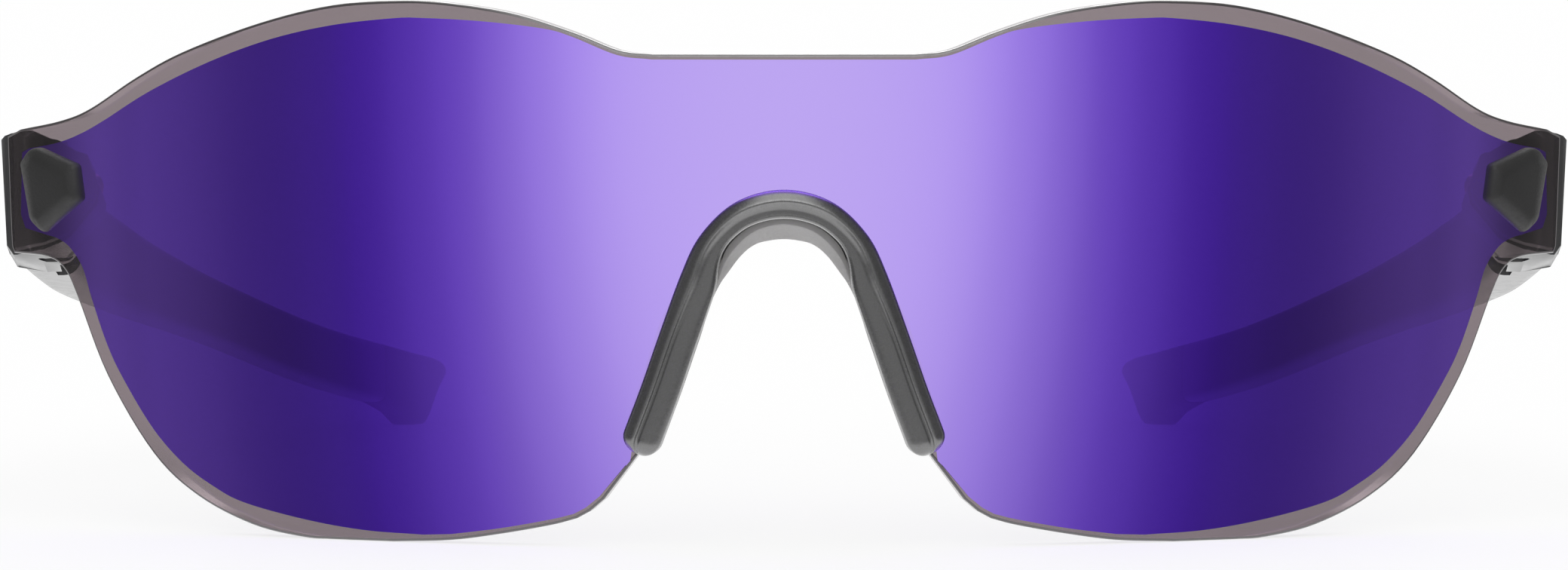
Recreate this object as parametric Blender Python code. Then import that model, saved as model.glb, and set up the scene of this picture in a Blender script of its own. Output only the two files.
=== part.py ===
"""Rimless shield sunglasses that stand on their two lobes and their two arm tips.

Metres, +Z up. The front faces -Y, +X is the wearer's left, and z = 0 is what they stand on.
The lens is drawn flat: s runs along its front surface from the middle, z is the height, and
depth goes into it from the front. lens_point wraps that sheet round the face.
"""

import math

import bmesh
import bpy
from mathutils import Matrix, Vector

# Clearances
GAP = 0.0003
ROUND_GAP = 0.00018
OVERRUN = 0.002

# Lens
LENS_SIDE_LENGTH = 0.0765
LENS_HEIGHT = 0.0474
LENS_THICKNESS = 0.0022
LENS_EDGE_CHAMFER = 0.00025
WRAP_RADIUS = 0.110
BOW_RADIUS = 0.450
LENS_FACET = 0.0045
LENS_HOLE_RADIUS = 0.0013

# Outline of the lens's right half, as shares of its half arc and of its height
BRIDGE_MIDDLE_SHARES = ((0, 0.903),)
TOP_SHARES = (
    (0.150, 0.903), (0.188, 0.910), (0.242, 0.943), (0.312, 0.977), (0.384, 0.995), (0.445, 1.0),
    (0.533, 0.991), (0.627, 0.958), (0.732, 0.903), (0.799, 0.854), (0.867, 0.795), (0.915, 0.770),
    (0.981, 0.752),
)
TAB_END_SHARES = ((1.003, 0.738), (0.995, 0.528))
UNDER_SHARES = (
    (0.991, 0.515), (0.936, 0.510), (0.908, 0.489), (0.887, 0.436), (0.842, 0.289), (0.776, 0.146),
    (0.714, 0.070), (0.640, 0.021), (0.574, 0.002), (0.536, 0),
)
LOBE_SHARES = ((0.458, 0), (0.387, 0.006), (0.327, 0.020), (0.268, 0.038), (0.238, 0.051))
LOBE_CORNER_SHARES = ((0.222, 0.065), (0.206, 0.087), (0.1703, 0.155), (0.1676, 0.1876))

# Nose cut-out: half width and height of the lens edge, from the lower end to the arch
NOTCH_SHARES = (
    (0.1634, 0.2053), (0.1438, 0.288), (0.120, 0.397), (0.096, 0.493), (0.0756, 0.555),
    (0.043, 0.6036), (0, 0.621),
)
CURVE_STEPS = 3

# Nose carrier, the rail that grips the cut-out's edge. Across is outwards over the lens
RAIL_LAP = 0.0016
RAIL_RISE = 0.0015
RAIL_LEG_REACH = 0.0021
RAIL_ARCH_REACH = 0.0009
RAIL_FRONT_DEPTH = 0.0009
TONGUE_THICKNESS = 0.0006
HOOK_LAP = 0.0009
HOOK_THICKNESS = 0.0008

# The rail's crest: shares of its lap and rise outside, then of its reach and rise inside
RAIL_OUTER_SHARES = ((0.97, 0.5), (0.7, 0.85), (0.25, 1))
RAIL_INNER_SHARES = ((0.4, 0.8), (0.85, 0.4), (1, 0))

# The nosepiece's ends: how far past the cut-out as a share of the lap, and how thick there
RAIL_END_SHARES = ((0.3, 0.96), (0.63, 0.7), (0.89, 0.3), (0.96, 0.12))
PAD_END_SHARES = ((0.3, 0.9),)
NOSE_END_INSET = 0.0005

# Nose pad, the soft saddle behind the carrier
PAD_DEPTH = 0.0082
PAD_ARCH_STEP = 0.0006
PAD_LEG_STEP = 0.00017
PAD_ARCH_DROP = 0.0019
PAD_LEG_FLARE = 0.0026
PAD_WING = 0.0011
PAD_LAP = 0.0012
PAD_EDGE_SHARES = (0.96, 0.93)

# Rubber seat between lens and end block
SEAT_THICKNESS = 0.0005
SEAT_INSET = 0.0006

# End block. Its middle is a share of the lens's height, its face outline of its own size
BLOCK_OVERHANG = 0.0013
BLOCK_WIDTH = 0.0100
BLOCK_HEIGHT = 0.0116
BLOCK_MIDDLE_SHARE = 0.6287
BLOCK_THICKNESS = 0.0039
BLOCK_REAR = 0.0070
BLOCK_SLOPE = 0.22
BLOCK_FACE_SHARES = (
    (1, 0.905), (0.955, 0.94), (0.89, 0.96), (0.67, 0.985), (0.41, 0.915), (0.125, 0.81),
    (0.06, 0.68), (0, 0.55), (0.03, 0.42), (0.41, 0.11), (0.61, 0.05), (0.88, 0), (0.95, 0.07),
)

# Hinge
KNUCKLE_RADIUS = 0.0019
HINGE_BACKSET = 0.0010
KNUCKLE_RISE = 0.0027
KNUCKLE_HEIGHT = 0.0036
EAR_HEIGHT = 0.0028
EAR_ROOT = 0.0020
EAR_TURN = math.radians(65)
NECK_SHARE = 1.2
PIN_RADIUS = 0.0007
PIN_HEAD_RADIUS = 0.00125
PIN_HEAD_HEIGHT = 0.0006

# Lens screw and what it holds: in from the lens's end, and up the block
SCREW_INSET = 0.0058
SCREW_UP_SHARE = 0.55
SCREW_RADIUS = 0.0006
SCREW_HEAD_RADIUS = 0.0015
SCREW_HEAD_HEIGHT = 0.0007
SCREW_HEAD_SHARES = (0.75, 0.6)
SCREW_TAIL = 0.0003
BUSHING_WALL = 0.0003
INSERT_WALL = 0.0004
INSERT_LENGTH = 0.0020

# Cap in front of each tab: outline across and up from the screw, foot and then face
CAP_WALL_RISE = 0.0010
CAP_RISE = 0.0016
CAP_ROUNDING = 0.00022
CAP_WIDTH = 0.0072
CAP_HEIGHT = 0.0078
CAP_FOOT_SHARES = (
    (0.097, 0.481), (-0.487, 0.276), (-0.584, -0.077), (0.027, -0.513), (0.249, -0.372),
    (0.416, 0.295), (0.263, 0.455),
)
CAP_FACE_SHARES = (
    (0.069, 0.353), (-0.431, 0.173), (-0.501, -0.058), (0.048, -0.378), (0.111, -0.314),
    (0.208, 0.244), (0.173, 0.333),
)

# Temple arm: heights at its two ends, then shares of its length along, in and down
ARM_LENGTH = 0.1107
ARM_SETBACK = 0.0010
ARM_FRONT_WIDTH = 0.0054
ARM_FRONT_HEIGHT = 0.0114
ARM_FRONT_DROP = 0.0014
ARM_INWARD_REACH = 0.0295
ARM_INWARD_START_SHARE = 0.27
ARM_WIDTH_SHARES = ((0, 1), (0.12, 0.98), (0.3, 0.82), (0.55, 0.67), (0.8, 0.62), (1, 0.62))
ARM_HEIGHT_SHARES = (
    (0, 1), (0.06, 0.91), (0.12, 0.79), (0.24, 0.71), (0.36, 0.63), (0.5, 0.562), (0.75, 0.556),
    (0.95, 0.566), (1, 0.53),
)
ARM_FALL_SHARES = (
    (0, 0), (0.06, 0.072), (0.12, 0.137), (0.24, 0.238), (0.5, 0.463), (0.75, 0.747), (0.87, 0.870),
    (0.95, 0.95), (1, 0.98),
)
ARM_STATIONS = 22
ARM_CORNER_SHARE = 0.3

# Soft sleeve on the arm's end
TIP_LENGTH = 0.0150
TIP_WALL = 0.0009
TIP_SLANT = 0.0044
TIP_ROUNDING_SHARES = ((0, 1), (0.75, 1), (0.88, 0.96), (0.95, 0.87), (1, 0.70))
TIP_BUMP_SHARES = (
    (0, 0), (0.25, 0.08), (0.45, 0.32), (0.62, 0.74), (0.75, 0.97), (0.85, 0.95), (1, 0.35),
)
TIP_BUMP = 0.0013
TIP_STATIONS = 18
CORE_STATIONS = 6

# Fineness
ROUND_SIDES = 20
EAR_SIDES = 5
SHELL_STEPS = 7
NECK_STEPS = 4
SHARP_EDGE = math.radians(35)
CAP_EDGE = math.radians(24)


def clear_scene():
    for thing in list(bpy.data.objects):
        bpy.data.objects.remove(thing, do_unlink=True)


def finish(name, colour, roughness, metallic=0.0, alpha=1.0):
    mat = bpy.data.materials.new(name)
    mat.use_nodes = True
    shader = mat.node_tree.nodes["Principled BSDF"]
    shader.inputs["Base Color"].default_value = (*colour, 1.0)
    shader.inputs["Roughness"].default_value = roughness
    shader.inputs["Metallic"].default_value = metallic
    shader.inputs["Alpha"].default_value = alpha
    return mat


# Where things are on the wrapped lens


def bow(z):
    """How far the lens falls back at height z, from its vertical bow."""
    off_middle = z - LENS_HEIGHT / 2
    return BOW_RADIUS - math.sqrt(BOW_RADIUS**2 - off_middle**2)


def lens_end_back():
    """How far the lens's ends lie behind its middle."""
    return WRAP_RADIUS * (1 - math.cos(LENS_SIDE_LENGTH / WRAP_RADIUS))


def arm_tip_back():
    return lens_end_back() + BLOCK_REAR + GAP + ARM_LENGTH


# The origin is half-way between the carrier's crest and the arm tips
FRONT_Y = (RAIL_RISE + GAP - arm_tip_back()) / 2


def lens_point(s, z, depth):
    turn = s / WRAP_RADIUS
    reach = WRAP_RADIUS - depth - bow(z)
    return Vector((reach * math.sin(turn), FRONT_Y + WRAP_RADIUS - reach * math.cos(turn), z))


def lens_frame(s, z, depth):
    """Axes at a point of the lens: x along it, y up, z out of its front."""
    turn = s / WRAP_RADIUS
    along = Vector((math.cos(turn), math.sin(turn), 0))
    up = Vector((0, 0, 1))
    axes = Matrix((along, up, along.cross(up))).transposed().to_4x4()
    axes.translation = lens_point(s, z, depth)
    return axes


def on_share(shares):
    return [(s * LENS_SIDE_LENGTH, z * LENS_HEIGHT) for s, z in shares]


def value_at(pairs, at):
    """Smooth value through (place, value) pairs, by cubic steps that keep each pair's slope."""
    last = len(pairs) - 1
    k = next((i for i in range(last) if at <= pairs[i + 1][0]), last - 1)
    (x0, y0), (x1, y1) = pairs[k], pairs[k + 1]

    def slope(i):
        lo, hi = max(i - 1, 0), min(i + 1, last)
        return (pairs[hi][1] - pairs[lo][1]) / (pairs[hi][0] - pairs[lo][0])

    t = (at - x0) / (x1 - x0)
    span = x1 - x0
    return (
        (2 * t**3 - 3 * t**2 + 1) * y0
        + (t**3 - 2 * t**2 + t) * span * slope(k)
        + (3 * t**2 - 2 * t**3) * y1
        + (t**3 - t**2) * span * slope(k + 1)
    )


def curve_through(points, steps=CURVE_STEPS):
    """Points on a smooth curve through the given ones, ends included."""
    run = [Vector(p) for p in points]
    run = [2 * run[0] - run[1]] + run + [2 * run[-1] - run[-2]]
    out = []
    for k in range(1, len(run) - 2):
        before, start, end, after = run[k - 1 : k + 3]
        for step in range(steps):
            t = step / steps
            out.append(
                0.5
                * (
                    2 * start
                    + (end - before) * t
                    + (2 * before - 5 * start + 4 * end - after) * t**2
                    + (3 * start - before - 3 * end + after) * t**3
                )
            )
    out.append(run[-2])
    return [tuple(p) for p in out]


# Making solids


def solid(name, bm, mat, smooth=True):
    bmesh.ops.recalc_face_normals(bm, faces=bm.faces)
    mesh = bpy.data.meshes.new(name)
    bm.to_mesh(mesh)
    bm.free()
    thing = bpy.data.objects.new(name, mesh)
    bpy.context.scene.collection.objects.link(thing)
    if mat is not None:
        mesh.materials.append(mat)
    if smooth:
        mesh.shade_smooth()
        mesh.set_sharp_from_angle(angle=SHARP_EDGE)
    return thing


def loft(rings):
    """A closed solid through rings of as many points each."""
    bm = bmesh.new()
    rows = [[bm.verts.new(p) for p in ring] for ring in rings]
    count = len(rows[0])
    for low, high in zip(rows, rows[1:]):
        for i in range(count):
            j = (i + 1) % count
            bm.faces.new((low[i], low[j], high[j], high[i]))
    bm.faces.new(rows[0])
    bm.faces.new(rows[-1])
    return bm


def turned(profile, axes):
    """A solid turned about an axis frame's z, from (radius, height) pairs."""
    return loft([circle(radius, height, axes) for radius, height in profile])


def circle(radius, height, axes):
    """Points round an axis frame's z."""
    points = []
    for k in range(ROUND_SIDES):
        angle = math.tau * k / ROUND_SIDES
        points.append(axes @ Vector((radius * math.cos(angle), radius * math.sin(angle), height)))
    return points


def sleeve(outer, inner, low, high, axes):
    """An open tube about an axis frame's z."""
    bm = bmesh.new()
    rings = []
    for radius, height in ((outer, low), (outer, high), (inner, high), (inner, low)):
        rings.append([bm.verts.new(p) for p in circle(radius, height, axes)])
    for low_ring, high_ring in zip(rings, rings[1:] + rings[:1]):
        for k in range(ROUND_SIDES):
            m = (k + 1) % ROUND_SIDES
            bm.faces.new((low_ring[k], low_ring[m], high_ring[m], high_ring[k]))
    return bm


def guide(name, bm):
    thing = solid(name, bm, None, smooth=False)
    thing.hide_render = True
    thing.display_type = "WIRE"
    return thing


def combine(target, tool, operation):
    step = target.modifiers.new(tool.name, "BOOLEAN")
    step.operation = operation
    step.solver = "EXACT"
    step.object = tool


def mirrored(bm, side):
    """Turns a solid made for the wearer's left into that of the given side."""
    if side < 0:
        bmesh.ops.scale(bm, vec=(-1, 1, 1), verts=bm.verts)
    return bm


def upright(x, y, z):
    return Matrix.Translation((x, y, z))


# Lens


def lens_outline():
    half = on_share(BRIDGE_MIDDLE_SHARES)
    half += curve_through(on_share(TOP_SHARES))
    half += on_share(TAB_END_SHARES)
    half += curve_through(on_share(UNDER_SHARES))
    half += curve_through(on_share(LOBE_SHARES))
    half += on_share(LOBE_CORNER_SHARES)
    half += notch_path()[: len(notch_path()) // 2 + 1]
    other = [(-s, z) for s, z in reversed(half[1:-1])]
    return half + other


def wrap(bm):
    """Bends a flat sheet, drawn in s, depth and z, onto the lens."""
    for vert in bm.verts:
        s, depth, z = vert.co
        vert.co = lens_point(s, z, depth)


def facet(bm):
    """Cuts a flat sheet into strips narrow enough to bend."""
    reach = max(abs(v.co.x) for v in bm.verts)
    low = min(v.co.z for v in bm.verts)
    high = max(v.co.z for v in bm.verts)
    strips = max(2, round(2 * reach / LENS_FACET))
    rows = max(2, round((high - low) / (2 * LENS_FACET)))
    planes = [((reach * (2 * k / strips - 1), 0, 0), (1, 0, 0)) for k in range(1, strips)]
    planes += [((0, 0, low + (high - low) * k / rows), (0, 0, 1)) for k in range(1, rows)]
    for place, normal in planes:
        everything = bm.verts[:] + bm.edges[:] + bm.faces[:]
        bmesh.ops.bisect_plane(bm, geom=everything, plane_co=place, plane_no=normal, dist=0)


def sheet(outline, depth, thickness):
    """A flat plate in s, depth and z, from an outline of (s, z) points."""
    bm = bmesh.new()
    face = bm.faces.new([bm.verts.new((s, depth, z)) for s, z in outline])
    grown = bmesh.ops.extrude_face_region(bm, geom=[face])
    moved = [v for v in grown["geom"] if isinstance(v, bmesh.types.BMVert)]
    bmesh.ops.translate(bm, vec=(0, thickness, 0), verts=moved)
    bmesh.ops.recalc_face_normals(bm, faces=bm.faces)
    return bm


def chamfer_rim(bm, width):
    """Chamfers the edges between a sheet's broad faces and its rim."""
    rim = [e for e in bm.edges if sum(abs(f.normal.y) for f in e.link_faces) == 1]
    bmesh.ops.bevel(bm, geom=rim, offset=width, segments=1, affect="EDGES", clamp_overlap=True)


def screw_place():
    return LENS_SIDE_LENGTH - SCREW_INSET, block_foot() + SCREW_UP_SHARE * BLOCK_HEIGHT


def make_lens(mat):
    bm = sheet(lens_outline(), 0, LENS_THICKNESS)
    chamfer_rim(bm, LENS_EDGE_CHAMFER)
    facet(bm)
    wrap(bm)
    lens = solid("shield_lens", bm, mat)
    for side in (1, -1):
        s, z = screw_place()
        axes = lens_frame(s, z, 0)
        profile = ((LENS_HOLE_RADIUS, -LENS_THICKNESS - OVERRUN), (LENS_HOLE_RADIUS, OVERRUN))
        hole = guide(f"lens_hole_cutter_{side}", mirrored(turned(profile, axes), side))
        combine(lens, hole, "DIFFERENCE")
    return lens


# Nosepiece


def notch_path():
    """The cut-out's edge from the lower right end, over the arch, to the lower left end."""
    half = on_share(NOTCH_SHARES)
    return curve_through(half + [(-s, z) for s, z in reversed(half[:-1])])


def leg_share(z):
    """0 at the top of the arch and 1 down the legs."""
    top = NOTCH_SHARES[-1][1] * LENS_HEIGHT
    arch = (NOTCH_SHARES[-1][1] - NOTCH_SHARES[2][1]) * LENS_HEIGHT
    share = min(1, max(0, (top - z) / arch))
    return share**2 * (3 - 2 * share)


def swept(section, ends):
    """Sweeps section(leg share) along the cut-out, with ends that narrow and sink to the lens."""
    path = [Vector(p) for p in notch_path()]
    last = len(path) - 1
    ways = [(path[min(k + 1, last)] - path[max(k - 1, 0)]).normalized() for k in range(last + 1)]
    stations = [(place, way, 1) for place, way in zip(path, ways)]
    for past, narrowed in ends:
        stations.insert(0, (path[0] - ways[0] * past * RAIL_LAP, ways[0], narrowed))
        stations.append((path[-1] + ways[-1] * past * RAIL_LAP, ways[-1], narrowed))
    rings = []
    for place, way, narrowed in stations:
        outward = Vector((way.y, -way.x))
        ring = []
        for across, depth in section(leg_share(place.y)):
            spot = place + outward * ((across + NOSE_END_INSET) * narrowed - NOSE_END_INSET)
            sunk = (min(depth, -GAP) + GAP) * (narrowed - 1)
            ring.append(lens_point(spot.x, spot.y, depth + sunk))
        rings.append(ring)
    return loft(rings)


def between(arch, leg_value, leg):
    """A size of the nosepiece that changes from the arch to its legs."""
    return arch + (leg_value - arch) * leg


def rail_section(leg):
    """C-shaped section round the lens edge, as (across, depth) pairs."""
    reach = between(RAIL_ARCH_REACH, RAIL_LEG_REACH, leg)
    crest = RAIL_RISE + GAP
    tongue = GAP + TONGUE_THICKNESS
    hook = LENS_THICKNESS + GAP
    outer = [(RAIL_LAP * across, -crest * up) for across, up in RAIL_OUTER_SHARES]
    inner = [(-reach * across, -crest * up) for across, up in RAIL_INNER_SHARES]
    return [(RAIL_LAP, -GAP)] + outer + inner + [
        (-reach, RAIL_FRONT_DEPTH),
        (-tongue, RAIL_FRONT_DEPTH + GAP),
        (-tongue, hook + HOOK_THICKNESS),
        (HOOK_LAP, hook + HOOK_THICKNESS),
        (HOOK_LAP, hook),
        (-GAP, hook),
        (-GAP, -GAP),
    ]


def pad_section(leg):
    """Section of the soft saddle, which hugs the carrier's tongue and hook."""
    front = RAIL_FRONT_DEPTH + 2 * GAP
    tongue = 2 * GAP + TONGUE_THICKNESS
    hook = LENS_THICKNESS + 2 * GAP + HOOK_THICKNESS
    front_reach = between(RAIL_ARCH_REACH + PAD_ARCH_STEP, RAIL_LEG_REACH - PAD_LEG_STEP, leg)
    rear_inner = between(-RAIL_ARCH_REACH - PAD_ARCH_DROP, PAD_LEG_FLARE - RAIL_LAP, leg)
    rear_outer = between(PAD_LAP, RAIL_LAP + PAD_WING, leg)
    inner_edge, outer_edge = PAD_EDGE_SHARES
    return [
        (-tongue, front),
        (-front_reach, front),
        ((rear_inner - front_reach) / 2 - GAP * leg, (front + PAD_DEPTH) / 2),
        (rear_inner, PAD_DEPTH * inner_edge),
        ((rear_inner + rear_outer) / 2, PAD_DEPTH),
        (rear_outer, PAD_DEPTH * outer_edge),
        ((rear_outer + PAD_LAP) / 2, (hook + PAD_DEPTH) / 2),
        (PAD_LAP, hook),
        (-tongue, hook),
    ]


def make_nosepiece(rail_mat, pad_mat):
    solid("nose_carrier", swept(rail_section, RAIL_END_SHARES), rail_mat)
    solid("nose_pad", swept(pad_section, PAD_END_SHARES), pad_mat)


# End block with its rubber seat


def seat_depth():
    return LENS_THICKNESS + GAP


def block_depth():
    return seat_depth() + SEAT_THICKNESS + GAP


def block_foot():
    return BLOCK_MIDDLE_SHARE * LENS_HEIGHT - BLOCK_HEIGHT / 2


def knuckle_foot():
    return block_foot() + KNUCKLE_RISE


def block_outer_x():
    return lens_point(LENS_SIDE_LENGTH, block_foot(), 0).x + BLOCK_OVERHANG


def rear_y():
    """The plane that the block's back and the opened arm meet at."""
    return FRONT_Y + lens_end_back() + BLOCK_REAR


def hinge_x():
    return block_outer_x() - ARM_SETBACK - ARM_FRONT_WIDTH + KNUCKLE_RADIUS


def hinge_y():
    return rear_y() + HINGE_BACKSET


def face_outline(inset):
    """The block's outline seen from the front, as (x, z) pairs."""
    inner = block_outer_x() - BLOCK_WIDTH
    points = []
    for across, up in BLOCK_FACE_SHARES:
        x = inner + inset + across * (BLOCK_WIDTH - 2 * inset)
        z = block_foot() + inset + up * (BLOCK_HEIGHT - 2 * inset)
        points.append((x, z))
    return points


def turn_at(x, depth):
    """The wrap angle at which a depth of the lens reaches x."""
    return math.asin(x / (WRAP_RADIUS - depth))


def shell_y(x, depth):
    return FRONT_Y + WRAP_RADIUS - (WRAP_RADIUS - depth) * math.cos(turn_at(x, depth))


def face_prism(inset, front, back):
    """The outline run from front to back, falling along the arm's slope."""
    rings = []
    for y in (front, back):
        ring = []
        for x, z in face_outline(inset):
            fall = BLOCK_SLOPE * (y - shell_y(x, block_depth()))
            ring.append(Vector((x, y, z - fall)))
        rings.append(ring)
    return loft(rings)


def plan_plate(points, low, high):
    return loft([[Vector((x, y, z)) for x, y in points] for z in (low, high)])


def shell_points(depth, inner, outer, count=SHELL_STEPS):
    """Plan points along one depth of the lens, between two places across."""
    across = [inner + (outer - inner) * k / count for k in range(count + 1)]
    return [(x, shell_y(x, depth)) for x in across]


def block_span():
    """Heights well below and above the block, for the plates it is cut from."""
    return block_foot() - BLOCK_HEIGHT, block_foot() + 2 * BLOCK_HEIGHT


def ear_inner_x():
    return hinge_x() - KNUCKLE_RADIUS * math.cos(EAR_TURN)


def block_plan():
    inner = block_outer_x() - BLOCK_WIDTH - OVERRUN
    outer = block_outer_x() + OVERRUN
    front = shell_points(block_depth(), inner, block_outer_x())
    front += [(outer, shell_y(block_outer_x(), block_depth()))]
    back_depth = block_depth() + BLOCK_THICKNESS
    neck_x = hinge_x() - KNUCKLE_RADIUS * NECK_SHARE
    neck_y = hinge_y() - KNUCKLE_RADIUS - 2 * GAP
    back = shell_points(back_depth, inner, neck_x, NECK_STEPS)
    back += [(ear_inner_x(), neck_y), (ear_inner_x(), rear_y())]
    return front + [(outer, rear_y())] + list(reversed(back))


def ear_outline():
    """An ear's plan: round the hinge axis, with straight sides that reach into the block."""
    round_back = [math.pi * k / ROUND_SIDES for k in range(ROUND_SIDES + 1)]
    round_side = [math.pi + EAR_TURN * k / EAR_SIDES for k in range(1, EAR_SIDES + 1)]
    outline = []
    for angle in round_back + round_side:
        x = hinge_x() + KNUCKLE_RADIUS * math.cos(angle)
        outline.append((x, hinge_y() + KNUCKLE_RADIUS * math.sin(angle)))
    root = rear_y() - EAR_ROOT
    return outline + [(ear_inner_x(), root), (hinge_x() + KNUCKLE_RADIUS, root)]


def lower_ear_foot():
    return knuckle_foot() - GAP - EAR_HEIGHT


def upper_ear_foot():
    return knuckle_foot() + KNUCKLE_HEIGHT + GAP


def ear_top():
    return upper_ear_foot() + EAR_HEIGHT


def make_block(side, word, mat):
    block = solid(f"{word}_end_block", mirrored(plan_plate(block_plan(), *block_span()), side), mat)
    face = face_prism(0, FRONT_Y, rear_y() + OVERRUN)
    combine(block, guide(f"{word}_block_face_guide", mirrored(face, side)), "INTERSECT")
    for place, foot in (("lower", lower_ear_foot()), ("upper", upper_ear_foot())):
        ear = plan_plate(ear_outline(), foot, foot + EAR_HEIGHT)
        combine(block, guide(f"{word}_{place}_ear_guide", mirrored(ear, side)), "UNION")
    axis = upright(hinge_x(), hinge_y(), 0)
    slot_radius = KNUCKLE_RADIUS + GAP
    slot = turned(((slot_radius, knuckle_foot() - GAP), (slot_radius, upper_ear_foot())), axis)
    combine(block, guide(f"{word}_knuckle_slot_cutter", mirrored(slot, side)), "DIFFERENCE")
    pin_hole = PIN_RADIUS + ROUND_GAP
    head_room = PIN_HEAD_RADIUS + GAP
    steps = ((pin_hole, 0), (pin_hole, ear_top()), (head_room, ear_top()), (head_room, LENS_HEIGHT))
    bore = turned(steps, axis)
    combine(block, guide(f"{word}_pin_hole_cutter", mirrored(bore, side)), "DIFFERENCE")
    s, z = screw_place()
    pocket_radius = insert_radius() + ROUND_GAP
    pocket_end = -INSERT_LENGTH - GAP - SCREW_TAIL
    pocket_profile = ((pocket_radius, pocket_end), (pocket_radius, OVERRUN))
    pocket = turned(pocket_profile, lens_frame(s, z, block_depth()))
    combine(block, guide(f"{word}_insert_pocket_cutter", mirrored(pocket, side)), "DIFFERENCE")


def make_seat(side, word, mat):
    inner = block_outer_x() - BLOCK_WIDTH - OVERRUN
    outer = block_outer_x() - BLOCK_OVERHANG - SEAT_INSET
    plan = shell_points(seat_depth(), inner, outer)
    plan += list(reversed(shell_points(seat_depth() + SEAT_THICKNESS, inner, outer)))
    seat = solid(f"{word}_lens_seat", mirrored(plan_plate(plan, *block_span()), side), mat)
    face = guide(
        f"{word}_seat_face_guide", mirrored(face_prism(SEAT_INSET, FRONT_Y, rear_y() + OVERRUN), side)
    )
    combine(seat, face, "INTERSECT")
    s, z = screw_place()
    axes = lens_frame(s, z, seat_depth())
    hole = turned(((LENS_HOLE_RADIUS, -SEAT_THICKNESS - OVERRUN), (LENS_HOLE_RADIUS, OVERRUN)), axes)
    combine(seat, guide(f"{word}_seat_hole_cutter", mirrored(hole, side)), "DIFFERENCE")


# Lens screw, bushing, insert and cap


def bushing_bore():
    return LENS_HOLE_RADIUS - ROUND_GAP - BUSHING_WALL


def insert_radius():
    return bushing_bore() + INSERT_WALL


def make_lens_fixing(side, word, steel, brass, nylon, cap_mat):
    s, z = screw_place()
    axes = lens_frame(s, z, 0)
    crown, side_wall = SCREW_HEAD_SHARES
    profile = (
        (SCREW_RADIUS, -block_depth() - INSERT_LENGTH),
        (SCREW_RADIUS, GAP),
        (SCREW_HEAD_RADIUS, GAP),
        (SCREW_HEAD_RADIUS, GAP + SCREW_HEAD_HEIGHT * side_wall),
        (SCREW_HEAD_RADIUS * crown, GAP + SCREW_HEAD_HEIGHT),
    )
    solid(f"{word}_lens_screw", mirrored(turned(profile, axes), side), steel)
    outer = LENS_HOLE_RADIUS - ROUND_GAP
    tube = sleeve(outer, bushing_bore(), -seat_depth() - SEAT_THICKNESS, 0, axes)
    solid(f"{word}_lens_bushing", mirrored(tube, side), nylon)
    low = -block_depth() - INSERT_LENGTH
    tube = sleeve(insert_radius(), bushing_bore(), low, -block_depth(), axes)
    solid(f"{word}_screw_insert", mirrored(tube, side), brass)
    make_cap(side, word, cap_mat, axes)


def make_cap(side, word, mat, axes):
    def ring(shares, rise):
        return [axes @ Vector((u * CAP_WIDTH, v * CAP_HEIGHT, rise)) for u, v in shares]

    rings = [
        ring(CAP_FOOT_SHARES, GAP),
        ring(CAP_FOOT_SHARES, GAP + CAP_WALL_RISE),
        ring(CAP_FACE_SHARES, GAP + CAP_RISE),
    ]
    cap = solid(f"{word}_lens_cap", mirrored(loft(rings), side), mat)
    room = SCREW_HEAD_RADIUS + GAP
    pocket = turned(((room, -OVERRUN), (room, 2 * GAP + SCREW_HEAD_HEIGHT)), axes)
    combine(cap, guide(f"{word}_cap_pocket_cutter", mirrored(pocket, side)), "DIFFERENCE")
    edges = cap.modifiers.new("rounding", "BEVEL")
    edges.width = CAP_ROUNDING
    edges.segments = 2
    edges.limit_method = "ANGLE"
    edges.angle_limit = CAP_EDGE


# Temple arms


def arm_front():
    return rear_y() + GAP


def arm_centre_x(way):
    start = block_outer_x() - ARM_SETBACK - ARM_FRONT_WIDTH / 2
    bend = ARM_INWARD_START_SHARE * way + (1 - ARM_INWARD_START_SHARE) * way**2
    return start - ARM_INWARD_REACH * bend


def arm_foot_start():
    """The arm's underside where it meets the block."""
    return block_foot() - ARM_FRONT_DROP


def arm_underside(way):
    return arm_foot_start() * (1 - value_at(ARM_FALL_SHARES, way))


def arm_size(way):
    width = ARM_FRONT_WIDTH * value_at(ARM_WIDTH_SHARES, way)
    height = ARM_FRONT_HEIGHT * value_at(ARM_HEIGHT_SHARES, way)
    return width, height


def arm_ring(way, foot, top, width, lean=0):
    """A rounded upright section of the arm, whose foot lies lean in front of its top."""
    corner = min(width, top - foot) * ARM_CORNER_SHARE
    half = width / 2
    ring = []
    for turn, cx, cz in (
        (0, half - corner, top - corner),
        (1, -half + corner, top - corner),
        (2, -half + corner, foot + corner),
        (3, half - corner, foot + corner),
    ):
        for step in range(3):
            angle = (turn + step / 2) * math.pi / 2
            z = cz + corner * math.sin(angle)
            at = way - lean / ARM_LENGTH * (top - z) / (top - foot)
            x = arm_centre_x(at) + cx + corner * math.cos(angle)
            ring.append(Vector((x, arm_front() + at * ARM_LENGTH, z)))
    return ring


def arm_rings(start, end, count, inset=0):
    """Plain sections of the arm, drawn in by inset for its core."""
    rings = []
    for k in range(count + 1):
        way = start + (end - start) * k / count
        width, height = arm_size(way)
        foot = arm_underside(way)
        rings.append(arm_ring(way, foot + inset, foot + height - inset, width - 2 * inset))
    return rings


def tip_start():
    return 1 - TIP_LENGTH / ARM_LENGTH


def make_arm(side, word, mat):
    split = tip_start()
    core_end = 1 - (TIP_SLANT + TIP_WALL) / ARM_LENGTH
    rings = arm_rings(0, split, ARM_STATIONS) + arm_rings(split, core_end, CORE_STATIONS, TIP_WALL)
    arm = solid(f"{word}_temple_arm", mirrored(loft(rings), side), mat)
    shape_hinge_end(arm, side, word)
    return arm


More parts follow.
